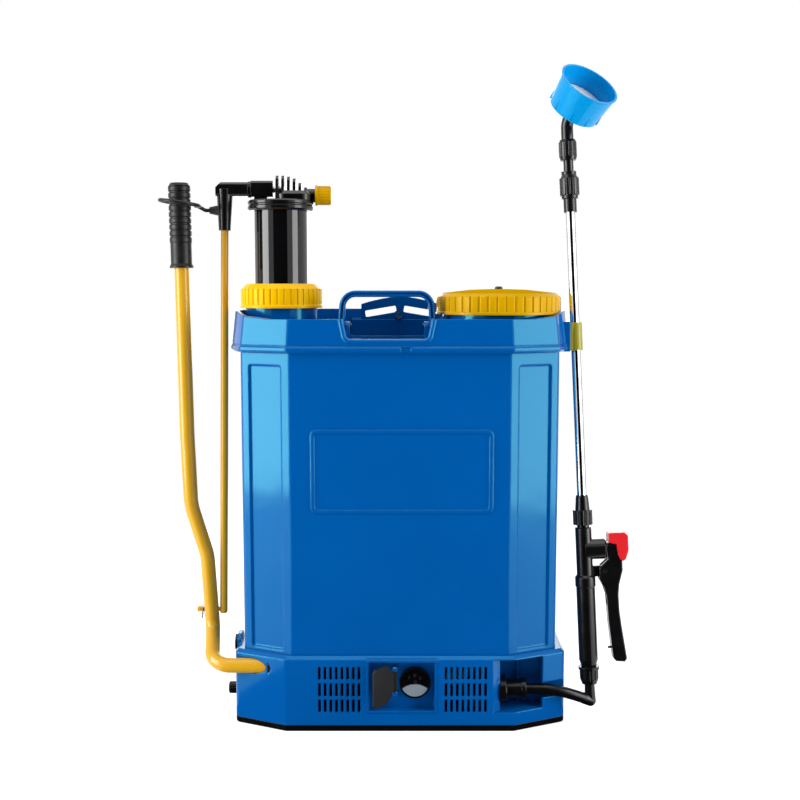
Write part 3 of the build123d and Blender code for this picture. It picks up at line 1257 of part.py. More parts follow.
def make_neck_nut():
    low, high = up(646.0), up(669.0)
    bore = SPOUT_TUBE_R + SHAFT_GAP + 0.04
    nut = turned([(5.85, low), (9.0, low), (10.2, low + 4), (10.2, high - 3), (9.0, high), (bore, high),
                  (bore, up(655.4)), (5.85, up(655.4))])
    ribs = [Rot(0, 0, turn * 30) * rod_z(1.2, low + 4, high - 3, 11.0, 0) for turn in range(12)]
    return on_axis(nut - ribs)


cup_dir = Vector(*CUP_AXIS).normalized()
neck_bend = on_lance(NECK_BEND_Z)
cup_foot = neck_bend + cup_dir * NECK_TO_CUP
cup_frame = Plane(origin=cup_foot, z_dir=cup_dir)


def make_nozzle_neck():
    foot = on_lance(656.0)
    stem_top = cup_foot + cup_dir * (CUP_H - CUP_FLOOR)
    path = FilletPolyline(tuple(foot), tuple(neck_bend), tuple(stem_top), radius=18.0)
    start = Plane(origin=path @ 0, z_dir=path % 0)
    return sweep(start * (Circle(SPOUT_TUBE_R) - Circle(3.0)), path)


def make_spray_cup():
    floor = CUP_H - CUP_FLOOR
    rim, foot, wall = CUP_RIM_R, CUP_FOOT_R, CUP_WALL
    hub = SPOUT_TUBE_R + FIT_GAP
    slope = (rim - foot) / CUP_H

    def outer(height):
        return foot + slope * height

    cup = turned([(hub, 6.0), (hub + 2.5, 6.0), (hub + 2.5, floor - 2), (outer(floor - 2) - wall, floor - 2),
                  (foot - wall, 0), (foot, 0), (outer(CUP_H - 1.6), CUP_H - 1.6), (rim + 0.8, CUP_H - 1.2),
                  (rim + 0.8, CUP_H), (rim - wall, CUP_H), (outer(floor) - wall, floor), (hub, floor)])
    ribs = []
    for turn in range(9):
        rib = block((foot - 0.5, foot + 1.5), (-0.7, 0.7), (1.0, 13.0))
        ribs.append(Rot(0, 0, 40 * turn) * rib)
    return cup_frame * (cup + ribs)


def make_cup_disc():
    floor = CUP_H - CUP_FLOOR
    slope = (CUP_RIM_R - CUP_FOOT_R) / CUP_H
    radius = CUP_FOOT_R + slope * floor - CUP_WALL - 0.4
    return cup_frame * ring_z(radius, SPOUT_TUBE_R + 1.0, floor, floor + 1.2)


def make_nozzle_tip():
    floor = CUP_H - CUP_FLOOR
    top = floor + 3.2
    return cup_frame * turned([(0.8, floor), (6.6, floor), (6.6, floor + 1.6), (4.0, top), (0.8, top)])


def make_lance_clip():
    low, high = up(CLIP_Z[0]), up(CLIP_Z[1])
    ring = on_axis(rod_z(LANCE_R + CLIP_WALL, low, high))
    plate = block((CLIP_SEAT_X, CLIP_SEAT_X + CLIP_WALL), (CLIP_Y - 9, CLIP_Y + 9), CLIP_Z)
    middle = on_lance(sum(CLIP_Z) / 2)
    bridge = block((CLIP_SEAT_X, middle.X), (CLIP_Y - 7, CLIP_Y + 7), CLIP_Z)
    mouth = on_axis(block((2.4, 20.0), (-3.6, 3.6), (low - 5, high + 5)))
    clip = (ring + plate + bridge) & block((CLIP_SEAT_X, 260), (CLIP_Y - 20, CLIP_Y + 20), CLIP_Z)
    clip -= mouth
    clip -= on_axis(rod_z(LANCE_R + SHAFT_GAP, low - 5, high + 5))
    return clip - rod_x(SCREW_HOLE_R, CLIP_SEAT_X - 1, middle.X, CLIP_Y, sum(CLIP_Z) / 2)


def make_clip_screw():
    z = sum(CLIP_Z) / 2
    return rod_x(SCREW_HOLE_R - FIT_GAP, CLIP_SEAT_X - 11, CLIP_SEAT_X + 1.5, CLIP_Y, z)


# ---------------------------------------------------------------- charging window
def make_charging_socket():
    back = BASE_FRONT + WINDOW_DEEP
    front = back - SOCKET_PROUD
    body = rod_y(SOCKET_R, front, back, SOCKET_X, SOCKET_Z)
    body -= rod_y(SOCKET_R - 2.0, front - 1, front + 2.6, SOCKET_X, SOCKET_Z)
    body += rod_y(SOCKET_R - 3.0 - FIT_GAP, back - 1, back + 12, SOCKET_X, SOCKET_Z)
    for x, z in socket_pin_spots():
        body -= rod_y(PIN_R + 0.02, front - 1, back + 13, x, z)
    return body


def socket_pin_spots():
    ring = 8.6
    spots = [(SOCKET_X + ring * sin(radians(a)), SOCKET_Z + ring * cos(radians(a))) for a in (-48, 0, 48)]
    return spots + [(SOCKET_X, SOCKET_Z + 1.0)]


def make_socket_pins():
    back = BASE_FRONT + WINDOW_DEEP
    return group(*[rod_y(PIN_R, back - SOCKET_PROUD + 0.4, back + 12, x, z) for x, z in socket_pin_spots()])


def make_socket_key():
    """The pale half-round shelf below the socket's pins."""
    front = BASE_FRONT + WINDOW_DEEP - SOCKET_PROUD
    disc = rod_y(SOCKET_R - 2.1, front + 0.2, front + 2.6, SOCKET_X, SOCKET_Z)
    crown = rod_y(24.0, front - 2, front + 4, SOCKET_X, SOCKET_Z - 25.5)
    return disc & crown


def make_socket_flap():
    """Rubber cover of the socket, swung open to the left."""
    low, high = FLAP_Z
    reach = FLAP_REACH
    points = [(-4.5, low + 12), (-14, low), (3 - reach, low), (-reach, low + 3), (-reach, high - 3),
              (3 - reach, high), (-14, high), (-4.5, high - 12)]
    leaf = Pos(0, FLAP_T / 2, 0) * extrude(Plane.XZ * make_face(Polyline(*points, close=True)), FLAP_T)
    lower, upper = flap_ear_heights()
    barrel_z = (lower[1] + RUN_GAP, upper[0] - RUN_GAP)
    knuckle = rod_z(FLAP_KNUCKLE_R, *barrel_z) + block((-5.5, 0), (-FLAP_T / 2, FLAP_T / 2), barrel_z)
    flap = leaf + knuckle - rod_z(FLAP_PIN_R + SHAFT_GAP, low, high)
    return Pos(FLAP_HINGE_X, FLAP_HINGE_Y, 0) * Rot(0, 0, FLAP_OPEN) * flap


def make_flap_pin():
    lower, upper = flap_ear_heights()
    return rod_z(FLAP_PIN_R, lower[0] - 1, upper[1] + 1, FLAP_HINGE_X, FLAP_HINGE_Y)


# ---------------------------------------------------------------- inside the base
def make_battery_pack():
    x, y = BATTERY_AT
    wide, deep, tall = BATTERY
    top = PLATE_T + tall
    case = Pos(x, y, (PLATE_T + top - 6) / 2) * Box(wide, deep, tall - 6)
    case = chamfer(case.edges().filter_by(Axis.Z), 3.0)
    cover = Pos(x, y, top - 3) * Box(wide - 4, deep - 4, 6)
    return case + cover


def make_pump_pad():
    return block(PUMP_HEAD_X, PUMP_HEAD_Y, (PLATE_T, PUMP_HEAD_Z[0]))


def make_pump_head():
    head = block(PUMP_HEAD_X, PUMP_HEAD_Y, PUMP_HEAD_Z)
    head = chamfer(head.edges().filter_by(Axis.X), 4.0)
    x = sum(PUMP_HEAD_X) / 2
    z = sum(PUMP_HEAD_Z) / 2
    head += rod_y(5.0, PUMP_HEAD_Y[0] - 10, PUMP_HEAD_Y[0], x, z)
    return head + rod_y(5.0, PUMP_HEAD_Y[1], PUMP_HEAD_Y[1] + 10, x, z)


def make_pump_motor():
    y = sum(PUMP_HEAD_Y) / 2
    z = sum(PUMP_HEAD_Z) / 2
    low = PUMP_HEAD_X[0] - MOTOR_L
    motor = rod_x(MOTOR_R, low, PUMP_HEAD_X[0], y, z)
    return motor + rod_x(6.0, low - 3, low, y, z)


def make_suction_hose():
    x, y = DRAIN_AT
    low = BASE_TOP - BASE_ROOF - 12.0
    pump_x = sum(PUMP_HEAD_X) / 2
    pump_z = sum(PUMP_HEAD_Z) / 2
    port_y = PUMP_HEAD_Y[1] + 10
    path = FilletPolyline((x, y, low), (x, y, pump_z + 4), (pump_x, port_y + 18, pump_z),
                          (pump_x, port_y, pump_z), radius=[14.0, 9.0])
    return sweep(Plane(origin=path @ 0, z_dir=path % 0) * (Circle(6.5) - Circle(4.0)), path)


def make_pressure_hose():
    pump_x = sum(PUMP_HEAD_X) / 2
    pump_z = sum(PUMP_HEAD_Z) / 2
    path = FilletPolyline((pump_x, PUMP_HEAD_Y[0] - 10, pump_z), (pump_x, OUTLET_Y, OUTLET_Z),
                          (BAY_LEFT - 16, OUTLET_Y, OUTLET_Z), radius=10.0)
    return sweep(Plane(origin=path @ 0, z_dir=path % 0) * (Circle(6.0) - Circle(3.5)), path)


def make_speed_controller():
    inner = -BASE_HALF + BASE_WALL
    body = block((inner, inner + 24), (SWITCH_Y - 14, SWITCH_Y + 14), (SWITCH_Z - 14, SWITCH_Z + 14))
    return body - rod_x(SWITCH_SHAFT_R + SHAFT_GAP, inner - 1, inner + 12, SWITCH_Y, SWITCH_Z)


def make_switch_knob():
    outer = -BASE_HALF - RUN_GAP
    knob = rod_x(SWITCH_R, outer - SWITCH_PROUD, outer, SWITCH_Y, SWITCH_Z)
    knob = chamfer(knob.faces().sort_by(Axis.X)[0].edges(), 1.0)
    groove = rod_x(0.7, outer - SWITCH_PROUD - 1, outer - 1, 0, SWITCH_R + 0.2)
    ribs = [Pos(0, SWITCH_Y, SWITCH_Z) * Rot(angle, 0, 0) * groove for angle in range(0, 360, 24)]
    return knob - ribs + rod_x(SWITCH_SHAFT_R, outer, -BASE_HALF + BASE_WALL + 11, SWITCH_Y, SWITCH_Z)


def make_strap_ring():
    """The black ring on the lower left ear."""
    x = EAR_X[0]
    y = sum(EAR_Y) / 2
    plate = rod_x(9.0, x - 3.6, x - 0.3, y, EAR_HOLE_Z - 7) - rod_x(4.5, x - 5, x, y, EAR_HOLE_Z - 9)
    return plate + rod_x(EAR_HOLE_R - FIT_GAP, x - 3.6, EAR_X[1] - 0.5, y, EAR_HOLE_Z)


# ---------------------------------------------------------------- groups that share a node
def make_hinge_pins():
    return group(*make_handle_pins(), make_flap_pin(), make_trigger_pin())


def make_fixing_screws():
    return group(*make_base_screws(), *make_tank_screws(), make_strap_screw(), make_clip_screw())


def make_lock_nuts():
    return group(make_drain_nut(), make_outlet_lock_nut())


def make_chamber_fasteners():
    return group(make_arm_pin(), make_piston_screw())


def make_link_fasteners():
    return group(make_link_cotter(), make_link_washer())


def make_lance_fittings():
    return group(make_lance_top_nut(), make_lance_collar(), make_upper_collar(), make_upper_nut(),
                 make_lance_extension(), make_neck_nut())


def make_electric_pump():
    return group(make_pump_pad(), make_pump_head(), make_pump_motor())


def make_inner_hoses():
    return group(make_suction_hose(), make_pressure_hose())


# ---------------------------------------------------------------- all nodes
NODES = {
    "base_plate": make_base_plate,
    "base_shell": make_base_shell,
    "tank_shell": make_tank_shell,
    "tank_tray": make_tank_tray,
    "tank_necks": make_tank_necks,
    "tank_drain": make_tank_drain,
    "carry_handle": make_carry_handle,
    "hinge_pins": make_hinge_pins,
    "strap_plate": make_strap_plate,
    "fixing_screws": make_fixing_screws,
    "strap_ring": make_strap_ring,
    "filter_basket": make_filter_basket,
    "lid": make_lid,
    "lid_seal": make_lid_seal,
    "vent_valve": make_vent_valve,
    "pump_nut": make_pump_nut,
    "pump_gasket": make_pump_gasket,
    "pump_barrel": make_pump_barrel,
    "foot_valve": make_foot_valve,
    "valve_ball": make_valve_ball,
    "air_chamber": make_air_chamber,
    "piston_cup": make_piston_cup,
    "chamber_head": make_chamber_head,
    "arm_bracket": make_arm_bracket,
    "chamber_fasteners": make_chamber_fasteners,
    "outlet_cap": make_outlet_cap,
    "link_elbow": make_link_elbow,
    "link_rod": make_link_rod,
    "link_cotter": make_link_fasteners,
    "grip_hook": make_grip_hook,
    "pump_lever": make_pump_lever,
    "lever_grip": make_lever_grip,
    "lever_bush": make_lever_bush,
    "lever_collar": make_lever_collar,
    "outlet_fitting": make_outlet_fitting,
    "outlet_nut": make_outlet_nut,
    "lock_nuts": make_lock_nuts,
    "delivery_hose": make_delivery_hose,
    "hose_tail": make_hose_tail,
    "handle_bottom_nut": make_handle_bottom_nut,
    "handle_body": make_handle_body,
    "trigger_lever": make_trigger_lever,
    "trigger_latch": make_trigger_latch,
    "valve_stem": make_valve_stem,
    "lance_tube": make_lance_tube,
    "lance_fittings": make_lance_fittings,
    "nozzle_neck": make_nozzle_neck,
    "spray_cup": make_spray_cup,
    "cup_disc": make_cup_disc,
    "nozzle_tip": make_nozzle_tip,
    "lance_clip": make_lance_clip,
    "charging_socket": make_charging_socket,
    "socket_pins": make_socket_pins,
    "socket_key": make_socket_key,
    "socket_flap": make_socket_flap,
    "battery_pack": make_battery_pack,
    "electric_pump": make_electric_pump,
    "inner_hoses": make_inner_hoses,
    "speed_controller": make_speed_controller,
    "switch_knob": make_switch_knob,
}
for name, make in NODES.items():
    save(name, make())
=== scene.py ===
"""Finishes, hose, gauze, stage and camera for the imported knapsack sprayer.

Laid out as an add-on and run as a script: main() calls the operators in order.
"""

import json
from math import pi, radians, sin, cos

import bpy
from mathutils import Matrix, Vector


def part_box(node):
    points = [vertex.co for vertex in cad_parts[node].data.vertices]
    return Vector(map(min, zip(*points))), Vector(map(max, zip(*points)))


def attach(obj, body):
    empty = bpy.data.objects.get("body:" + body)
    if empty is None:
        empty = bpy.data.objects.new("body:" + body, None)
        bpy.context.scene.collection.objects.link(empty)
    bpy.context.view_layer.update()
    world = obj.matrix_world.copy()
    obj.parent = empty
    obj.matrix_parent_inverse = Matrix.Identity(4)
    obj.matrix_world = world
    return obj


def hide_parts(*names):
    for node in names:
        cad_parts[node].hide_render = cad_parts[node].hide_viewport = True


bl_info = {
    "name": "Knapsack sprayer",
    "version": (1, 0, 0),
    "blender": (4, 5, 0),
    "location": "3D View > Sidebar > Sprayer",
    "description": "Dresses the sprayer's frame with its finishes, hose and small parts",
    "category": "Object",
}

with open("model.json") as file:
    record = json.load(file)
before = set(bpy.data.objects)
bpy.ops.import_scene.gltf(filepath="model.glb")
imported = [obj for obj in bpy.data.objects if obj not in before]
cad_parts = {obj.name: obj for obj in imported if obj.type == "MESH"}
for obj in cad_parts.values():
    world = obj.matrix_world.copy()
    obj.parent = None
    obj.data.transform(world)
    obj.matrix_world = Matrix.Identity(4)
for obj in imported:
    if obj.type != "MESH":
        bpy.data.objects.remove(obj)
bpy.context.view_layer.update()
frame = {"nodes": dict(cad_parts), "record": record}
RECORD = frame["record"]
BODY_OF = {node: body for body, members in RECORD["behaviour"]["bodies"].items() for node in members}


# ---------------------------------------------------------------- settings
def colour(label, text, value):
    return bpy.props.FloatVectorProperty(name=label, description=text, default=value, min=0.0, max=1.0,
                                         size=3, subtype="COLOR")


def length(label, text, value):
    return bpy.props.FloatProperty(name=label, description=text, default=value, min=0.0, unit="LENGTH",
                                   precision=4)


def share(label, text, value):
    return bpy.props.FloatProperty(name=label, description=text, default=value, min=0.0, max=1.0,
                                   subtype="FACTOR")


def lamp_level(label, text, value):
    return bpy.props.FloatProperty(name=label, description=text, default=value, min=0.0)


def count(label, text, value, least):
    return bpy.props.IntProperty(name=label, description=text, default=value, min=least)


class SprayerColours(bpy.types.PropertyGroup):
    """The colours of the mouldings and the paint."""

    tank: colour("Tank", "Blue of the tank and the base", (0.0, 0.088, 0.352))
    # Painted shade: the pump nut's yellow made darker for the lid and the outlet cap, standing in for the
    # shade that falls on them.
    shaded_cap: colour("Caps", "Yellow of the lid and the outlet cap", (0.62, 0.34, 0.0))
    nut: colour("Pump nut", "Yellow of the pump nut", (0.90, 0.50, 0.0))
    sheen: colour("Blue sheen", "Tint of the shine on the blue mouldings", (0.22, 0.94, 0.86))
    cap_sheen: colour("Yellow sheen", "Tint of the shine on the yellow mouldings", (0.72, 0.47, 0.08))
    lever: colour("Lever", "Paint of the lever and the link", (0.66, 0.35, 0.012))
    black: colour("Black plastic", "Handle, elbows and nuts", (0.003, 0.003, 0.0035))
    latch: colour("Latch", "Red of the trigger's latch", (0.68, 0.012, 0.016))
    cup: colour("Spray cup", "Light blue of the cup", (0.0, 0.30, 0.72))
    clip: colour("Clip", "Olive of the lance's clip", (0.30, 0.27, 0.012))
    white: colour("White plastic", "Cup floor, basket and barrel", (0.83, 0.83, 0.84))
    grey: colour("Grey plastic", "Battery, pump and socket shelf", (0.30, 0.36, 0.40))


class SprayerSizes(bpy.types.PropertyGroup):
    """Sizes of the pieces that are made here."""

    hose_radius: length("Hose radius", "Outside radius of the delivery hose", 0.0062)
    edge: length("Moulded edge", "How softly the mouldings' edges turn", 0.0009)
    wire: length("Gauze wire", "Radius of the filter's wires", 0.00025)
    uprights: count("Gauze uprights", "Upright wires round the filter", 72, 8)
    rings: count("Gauze rings", "Level wires up the filter", 26, 4)


class SprayerStage(bpy.types.PropertyGroup):
    """The studio."""

    left_light: lamp_level("Left light", "Brightness of the tall soft light at the left", 9.0)
    right_light: lamp_level("Right light", "Brightness of the tall soft light at the right", 6.0)
    back_light: lamp_level("Back light", "Brightness of the soft light behind", 2.4)
    top_light: lamp_level("Top light", "Brightness of the soft light overhead", 1.6)
    fill: share("Fill", "Light from all round", 0.31)
    lens: bpy.props.FloatProperty(name="Lens", description="Focal length on a 36 mm wide film", default=49.14,
                                  min=10.0, unit="CAMERA")
    tilt: bpy.props.FloatProperty(name="Tilt", description="How far the camera looks down",
                                  default=radians(5.9), subtype="ANGLE")
    back: length("Distance", "How far the camera stands before the origin", 1.295)
    height: length("Height", "Height of the camera", 0.502)
    floor_start: length("Floor fade start", "How far out the floor starts to fade", 0.9)
    floor_end: length("Floor fade end", "How far out the floor is gone", 1.7)


def colours():
    return bpy.context.scene.sprayer_colours


def sizes():
    return bpy.context.scene.sprayer_sizes


# ---------------------------------------------------------------- materials
def shader_tree(name):
    """A new material, its node tree and its shader."""
    material = bpy.data.materials.new(name)
    material.use_nodes = True
    tree = material.node_tree
    return material, tree, tree.nodes["Principled BSDF"]


def coordinates(tree, name):
    """The piece's own coordinates ("Object") or its own normal ("Normal")."""
    return tree.nodes.new("ShaderNodeTexCoord").outputs[name]


def upward(tree, name):
    """The upward part of either."""
    split = tree.nodes.new("ShaderNodeSeparateXYZ")
    tree.links.new(coordinates(tree, name), split.inputs["Vector"])
    return split.outputs["Z"]


def calculated(tree, operation, value, other):
    """A value worked out with another one, which is a number or a node's output."""
    node = tree.nodes.new("ShaderNodeMath")
    node.operation = operation
    tree.links.new(value, node.inputs[0])
    if isinstance(other, float):
        node.inputs[1].default_value = other
    else:
        tree.links.new(other, node.inputs[1])
    return node.outputs["Value"]


def spread(tree, value, given, wanted, smooth=False):
    """A value that runs over one range, spread over another."""
    node = tree.nodes.new("ShaderNodeMapRange")
    if smooth:
        node.interpolation_type = "SMOOTHSTEP"
    node.inputs["From Min"].default_value, node.inputs["From Max"].default_value = given
    node.inputs["To Min"].default_value, node.inputs["To Max"].default_value = wanted
    tree.links.new(value, node.inputs["Value"])
    return node.outputs["Result"]


def blended(tree, factor, first, second):
    """From the first colour to the second one."""
    mix = tree.nodes.new("ShaderNodeMix")
    mix.data_type = "RGBA"
    mix.inputs["A"].default_value = (*first, 1.0)
    mix.inputs["B"].default_value = (*second, 1.0)
    tree.links.new(factor, mix.inputs["Factor"])
    return mix.outputs["Result"]


def noise(tree, scale, detail=2.0, stretch=(1.0, 1.0, 1.0)):
    """Noise on the piece's own coordinates, with features about 1 / scale metres across."""
    mapping = tree.nodes.new("ShaderNodeMapping")
    mapping.inputs["Scale"].default_value = stretch
    texture = tree.nodes.new("ShaderNodeTexNoise")
    texture.inputs["Scale"].default_value = scale
    texture.inputs["Detail"].default_value = detail
    tree.links.new(coordinates(tree, "Object"), mapping.inputs["Vector"])
    tree.links.new(mapping.outputs["Vector"], texture.inputs["Vector"])
    return texture.outputs["Fac"]


MOST_NOISE = (0.3, 0.7)          # the values that most of a noise lies between


def tinted(tree, shader, base, swing, scale):
    """A colour that drifts a little lighter and darker over the piece."""
    darker = [part * (1 - swing) for part in base]
    lighter = [min(1.0, part * (1 + swing)) for part in base]
    drift = spread(tree, noise(tree, scale), MOST_NOISE, (0.0, 1.0))
    tree.links.new(blended(tree, drift, darker, lighter), shader.inputs["Base Color"])


def rough(tree, shader, gloss, texture):
    """Roughness that wanders between two values with a noise."""
    tree.links.new(spread(tree, texture, MOST_NOISE, gloss), shader.inputs["Roughness"])


def bumped(tree, shader, layers, edge):
    """Bump layers of (noise scale, depth in metres), over edges that turn softly."""
    normal = None
    if edge:
        bevel = tree.nodes.new("ShaderNodeBevel")
        bevel.samples = 6
        bevel.inputs["Radius"].default_value = edge
        normal = bevel.outputs["Normal"]
    for scale, depth in layers:
        bump = tree.nodes.new("ShaderNodeBump")
        bump.inputs["Strength"].default_value = 1.0
        bump.inputs["Distance"].default_value = depth
        tree.links.new(noise(tree, scale), bump.inputs["Height"])
        if normal:
            tree.links.new(normal, bump.inputs["Normal"])
        normal = bump.outputs["Normal"]
    if normal:
        tree.links.new(normal, shader.inputs["Normal"])


SHINE_FADES = (0.6, 0.95)        # upward part of the normal where the shine starts to go and is gone


def dull_top(tree, shader, shine):
    """Takes the shine off faces that look upwards."""
    left = spread(tree, upward(tree, "Normal"), SHINE_FADES, (shine, 0.0))
    tree.links.new(left, shader.inputs["Specular IOR Level"])


def moulded(name, base, gloss=(0.10, 0.16), edge=None, swing=0.03, wave=0.0, grain=0.0, sheen=None,
            shine=0.5, matt_top=False):
    """Moulded plastic: a drift of colour, a slightly wavy skin and fine grain."""
    material, tree, shader = shader_tree(name)
    shader.inputs["Specular IOR Level"].default_value = shine
    if matt_top:
        dull_top(tree, shader, shine)
    if sheen:
        shader.inputs["Specular Tint"].default_value = (*sheen, 1.0)
    tinted(tree, shader, base, swing, 9.0)
    rough(tree, shader, gloss, noise(tree, 60.0, 4.0))
    layers = []
    if wave:
        layers.append((14.0, wave))
    if grain:
        layers.append((1800.0, grain))
    bumped(tree, shader, layers, sizes().edge if edge is None else edge)
    return material


def painted(name, base):
    """Enamel on steel tube."""
    material, tree, shader = shader_tree(name)
    tinted(tree, shader, base, 0.04, 14.0)
    rough(tree, shader, (0.16, 0.24), noise(tree, 120.0, 4.0))
    shader.inputs["Specular IOR Level"].default_value = 0.35
    shader.inputs["Coat Weight"].default_value = 0.2
    shader.inputs["Coat Roughness"].default_value = 0.05
    bumped(tree, shader, [(420.0, 0.00003)], 0.0)
    return material


def rubber(name, base, gloss):
    """Rubber and soft plastic, with fine grain."""
    material, tree, shader = shader_tree(name)
    shader.inputs["Specular IOR Level"].default_value = 0.3
    tinted(tree, shader, base, 0.12, 40.0)
    rough(tree, shader, gloss, noise(tree, 90.0, 4.0))
    bumped(tree, shader, [(1400.0, 0.00004)], 0.0004)
    return material


def metal(name, base, gloss, stretch, edge_tint=None):
    """Bare or plated metal, with fine marks along one axis."""
    material, tree, shader = shader_tree(name)
    if edge_tint:
        shader.inputs["Specular Tint"].default_value = (*edge_tint, 1.0)
    shader.inputs["Metallic"].default_value = 1.0
    tinted(tree, shader, base, 0.03, 30.0)
    rough(tree, shader, gloss, noise(tree, 700.0, 3.0, stretch))
    return material


STEEL = (0.56, 0.56, 0.57)


def pin_steel(name, dark):
    """Steel hinge pins low down in the base, blackened in the lance and the carry handle."""
    material, tree, shader = shader_tree(name)
    bare = calculated(tree, "LESS_THAN", upward(tree, "Object"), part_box("base_shell")[1].z)
    tree.links.new(blended(tree, bare, dark, STEEL), shader.inputs["Base Color"])
    tree.links.new(bare, shader.inputs["Metallic"])
    shader.inputs["Roughness"].default_value = 0.3
    return material


MATERIALS = {}


def make_materials():
    """Every finish by its name, made once."""
    if MATERIALS:
        return MATERIALS
    c = colours()
    black = tuple(c.black)
    MATERIALS.update({
        "tank blue": moulded("tank blue", tuple(c.tank), (0.10, 0.15), edge=0.002, wave=0.0006,
                             grain=0.000004, sheen=tuple(c.sheen)),
        # Painted shade: the caps' yellow is the pump nut's yellow made darker.
        "cap yellow with painted shade": moulded("cap yellow with painted shade", tuple(c.shaded_cap), (0.14, 0.22), grain=0.000006, shine=0.35,
                              sheen=tuple(c.cap_sheen), matt_top=True),
        "nut yellow": moulded("nut yellow", tuple(c.nut), (0.14, 0.22), grain=0.000006, shine=0.35,
                              sheen=tuple(c.cap_sheen)),
        "lever paint": painted("lever paint", tuple(c.lever)),
        "satin black": moulded("satin black", black, (0.16, 0.26), edge=0.0006, swing=0.10, grain=0.00001,
                               shine=0.4),
        "gloss black": moulded("gloss black", black, (0.04, 0.07), edge=0.0005, swing=0.05, wave=0.0001),
        "hose black": rubber("hose black", black, (0.16, 0.26)),
        "grip black": rubber("grip black", (0.005, 0.005, 0.0055), (0.34, 0.46)),
        "soft black": rubber("soft black", (0.007, 0.0075, 0.0075), (0.50, 0.62)),
        "latch red": moulded("latch red", tuple(c.latch), (0.22, 0.30), grain=0.00001),
        "cup blue": moulded("cup blue", tuple(c.cup), (0.16, 0.24), edge=0.0006, grain=0.000006,
                            sheen=tuple(c.sheen)),
        "clip olive": moulded("clip olive", tuple(c.clip), (0.26, 0.36), edge=0.0006, grain=0.00001),
        "white plastic": moulded("white plastic", tuple(c.white), (0.28, 0.40), edge=0.0005, grain=0.00001),
        "grey plastic": moulded("grey plastic", tuple(c.grey), (0.30, 0.42), edge=0.0005, grain=0.00001),
        "chrome plate": metal("chrome plate", (0.80, 0.80, 0.82), (0.03, 0.07), (1.0, 1.0, 0.05),
                              (0.08, 0.08, 0.09)),
        "plain steel": metal("plain steel", STEEL, (0.22, 0.34), (1.0, 1.0, 0.2)),
        "bare brass": metal("bare brass", (0.72, 0.50, 0.20), (0.20, 0.30), (1.0, 1.0, 0.2)),
        "pin steel": pin_steel("pin steel", black),
    })
    return MATERIALS


def finish_nodes(names, finish):
    """Gives CAD nodes one of the finishes."""
    material = make_materials()[finish]
    for name in names:
        mesh_slots = frame["nodes"][name].material_slots
        if not len(mesh_slots):
            raise RuntimeError(name + " has no material slot")
        for slot in mesh_slots:
            slot.material = material


def in_scene(name, data):
    """A new object with that data, in the scene."""
    thing = bpy.data.objects.new(name, data)
    bpy.context.scene.collection.objects.link(thing)
    return thing


def join_node(piece, node):
    """Puts a made piece on the body of a CAD node."""
    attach(piece, BODY_OF[node])


# ---------------------------------------------------------------- stage
def background_rays(tree):
    """One for the rays that show the background, nought for those that only light the sprayer."""
    rays = tree.nodes.new("ShaderNodeLightPath")
    seen = rays.outputs["Is Camera Ray"]
    for ray in ("Is Glossy Ray", "Is Transmission Ray"):
        seen = calculated(tree, "MAXIMUM", seen, rays.outputs[ray])
    return seen


def studio_world():
    """White where it shows, and a weaker light from all round."""
    world = bpy.data.worlds.new("studio")
    world.use_nodes = True
    tree = world.node_tree
    sky = tree.nodes["Background"]
    strength = spread(tree, background_rays(tree), (0.0, 1.0), (bpy.context.scene.sprayer_stage.fill, 1.0))
    tree.links.new(strength, sky.inputs["Strength"])
    sky.inputs["Color"].default_value = (1.0, 1.0, 1.0, 1.0)
    bpy.context.scene.world = world


def plane(name, corners, material):
    """One face of the stage."""
    data = bpy.data.meshes.new(name)
    data.from_pydata(corners, [], [tuple(range(len(corners)))])
    data.materials.append(material)
    card = in_scene(name, data)
    return card


FLOOR_GLOW = 0.6                 # light of its own, which brings the lit floor up to white


def floor_material():
    """White to the camera, a little darker where the sprayer shades it, and faded out far away."""
    material, tree, shader = shader_tree("floor")
    stage = bpy.context.scene.sprayer_stage
    shader.inputs["Base Color"].default_value = (0.8, 0.8, 0.8, 1.0)
    shader.inputs["Roughness"].default_value = 0.9
    shader.inputs["Specular IOR Level"].default_value = 0.0
    shader.inputs["Emission Color"].default_value = (1.0, 1.0, 1.0, 1.0)
    glow = calculated(tree, "MULTIPLY", background_rays(tree), FLOOR_GLOW)
    tree.links.new(glow, shader.inputs["Emission Strength"])
    far = tree.nodes.new("ShaderNodeVectorMath")
    far.operation = "LENGTH"
    tree.links.new(coordinates(tree, "Object"), far.inputs[0])
    fade = spread(tree, far.outputs["Value"], (stage.floor_start, stage.floor_end), (1.0, 0.0), smooth=True)
    tree.links.new(fade, shader.inputs["Alpha"])
    return material


def dark_cards():
    """Black cards before the sprayer, seen only in its shine. The back half of the room stays white."""
    dark, _, shader = shader_tree("dark card")
    shader.inputs["Base Color"].default_value = (0.0, 0.0, 0.0, 1.0)
    shader.inputs["Specular IOR Level"].default_value = 0.0
    front, side, high, low = -2.6, 1.5, 2.4, 0.0001
    tip, tip_side = -0.03, 0.22
    cards = {
        "front card": [(-side, front, low), (side, front, low), (side, front, high), (-side, front, high)],
        "floor card": [(-side, front, low), (side, front, low), (tip_side, tip, low), (-tip_side, tip, low)],
    }
    for name, corners in cards.items():
        card = plane(name, corners, dark)
        card.visible_camera = False
        card.visible_diffuse = False
        card.visible_shadow = False
        card.visible_transmission = False


def box_light(name, azimuth, distance, height, wide, tall, brightness):
    """A tall soft light that faces the sprayer. Azimuth 0 is before the tank, positive to the right."""
    lamp = bpy.data.lights.new(name, "AREA")
    lamp.shape = "RECTANGLE"
    lamp.size = wide
    lamp.size_y = tall
    lamp.energy = brightness * pi * wide * tall
    holder = in_scene(name, lamp)
    angle = radians(azimuth)
    holder.location = (distance * sin(angle), -distance * cos(angle), height)
    holder.rotation_euler = (radians(90), 0, angle)
    return holder


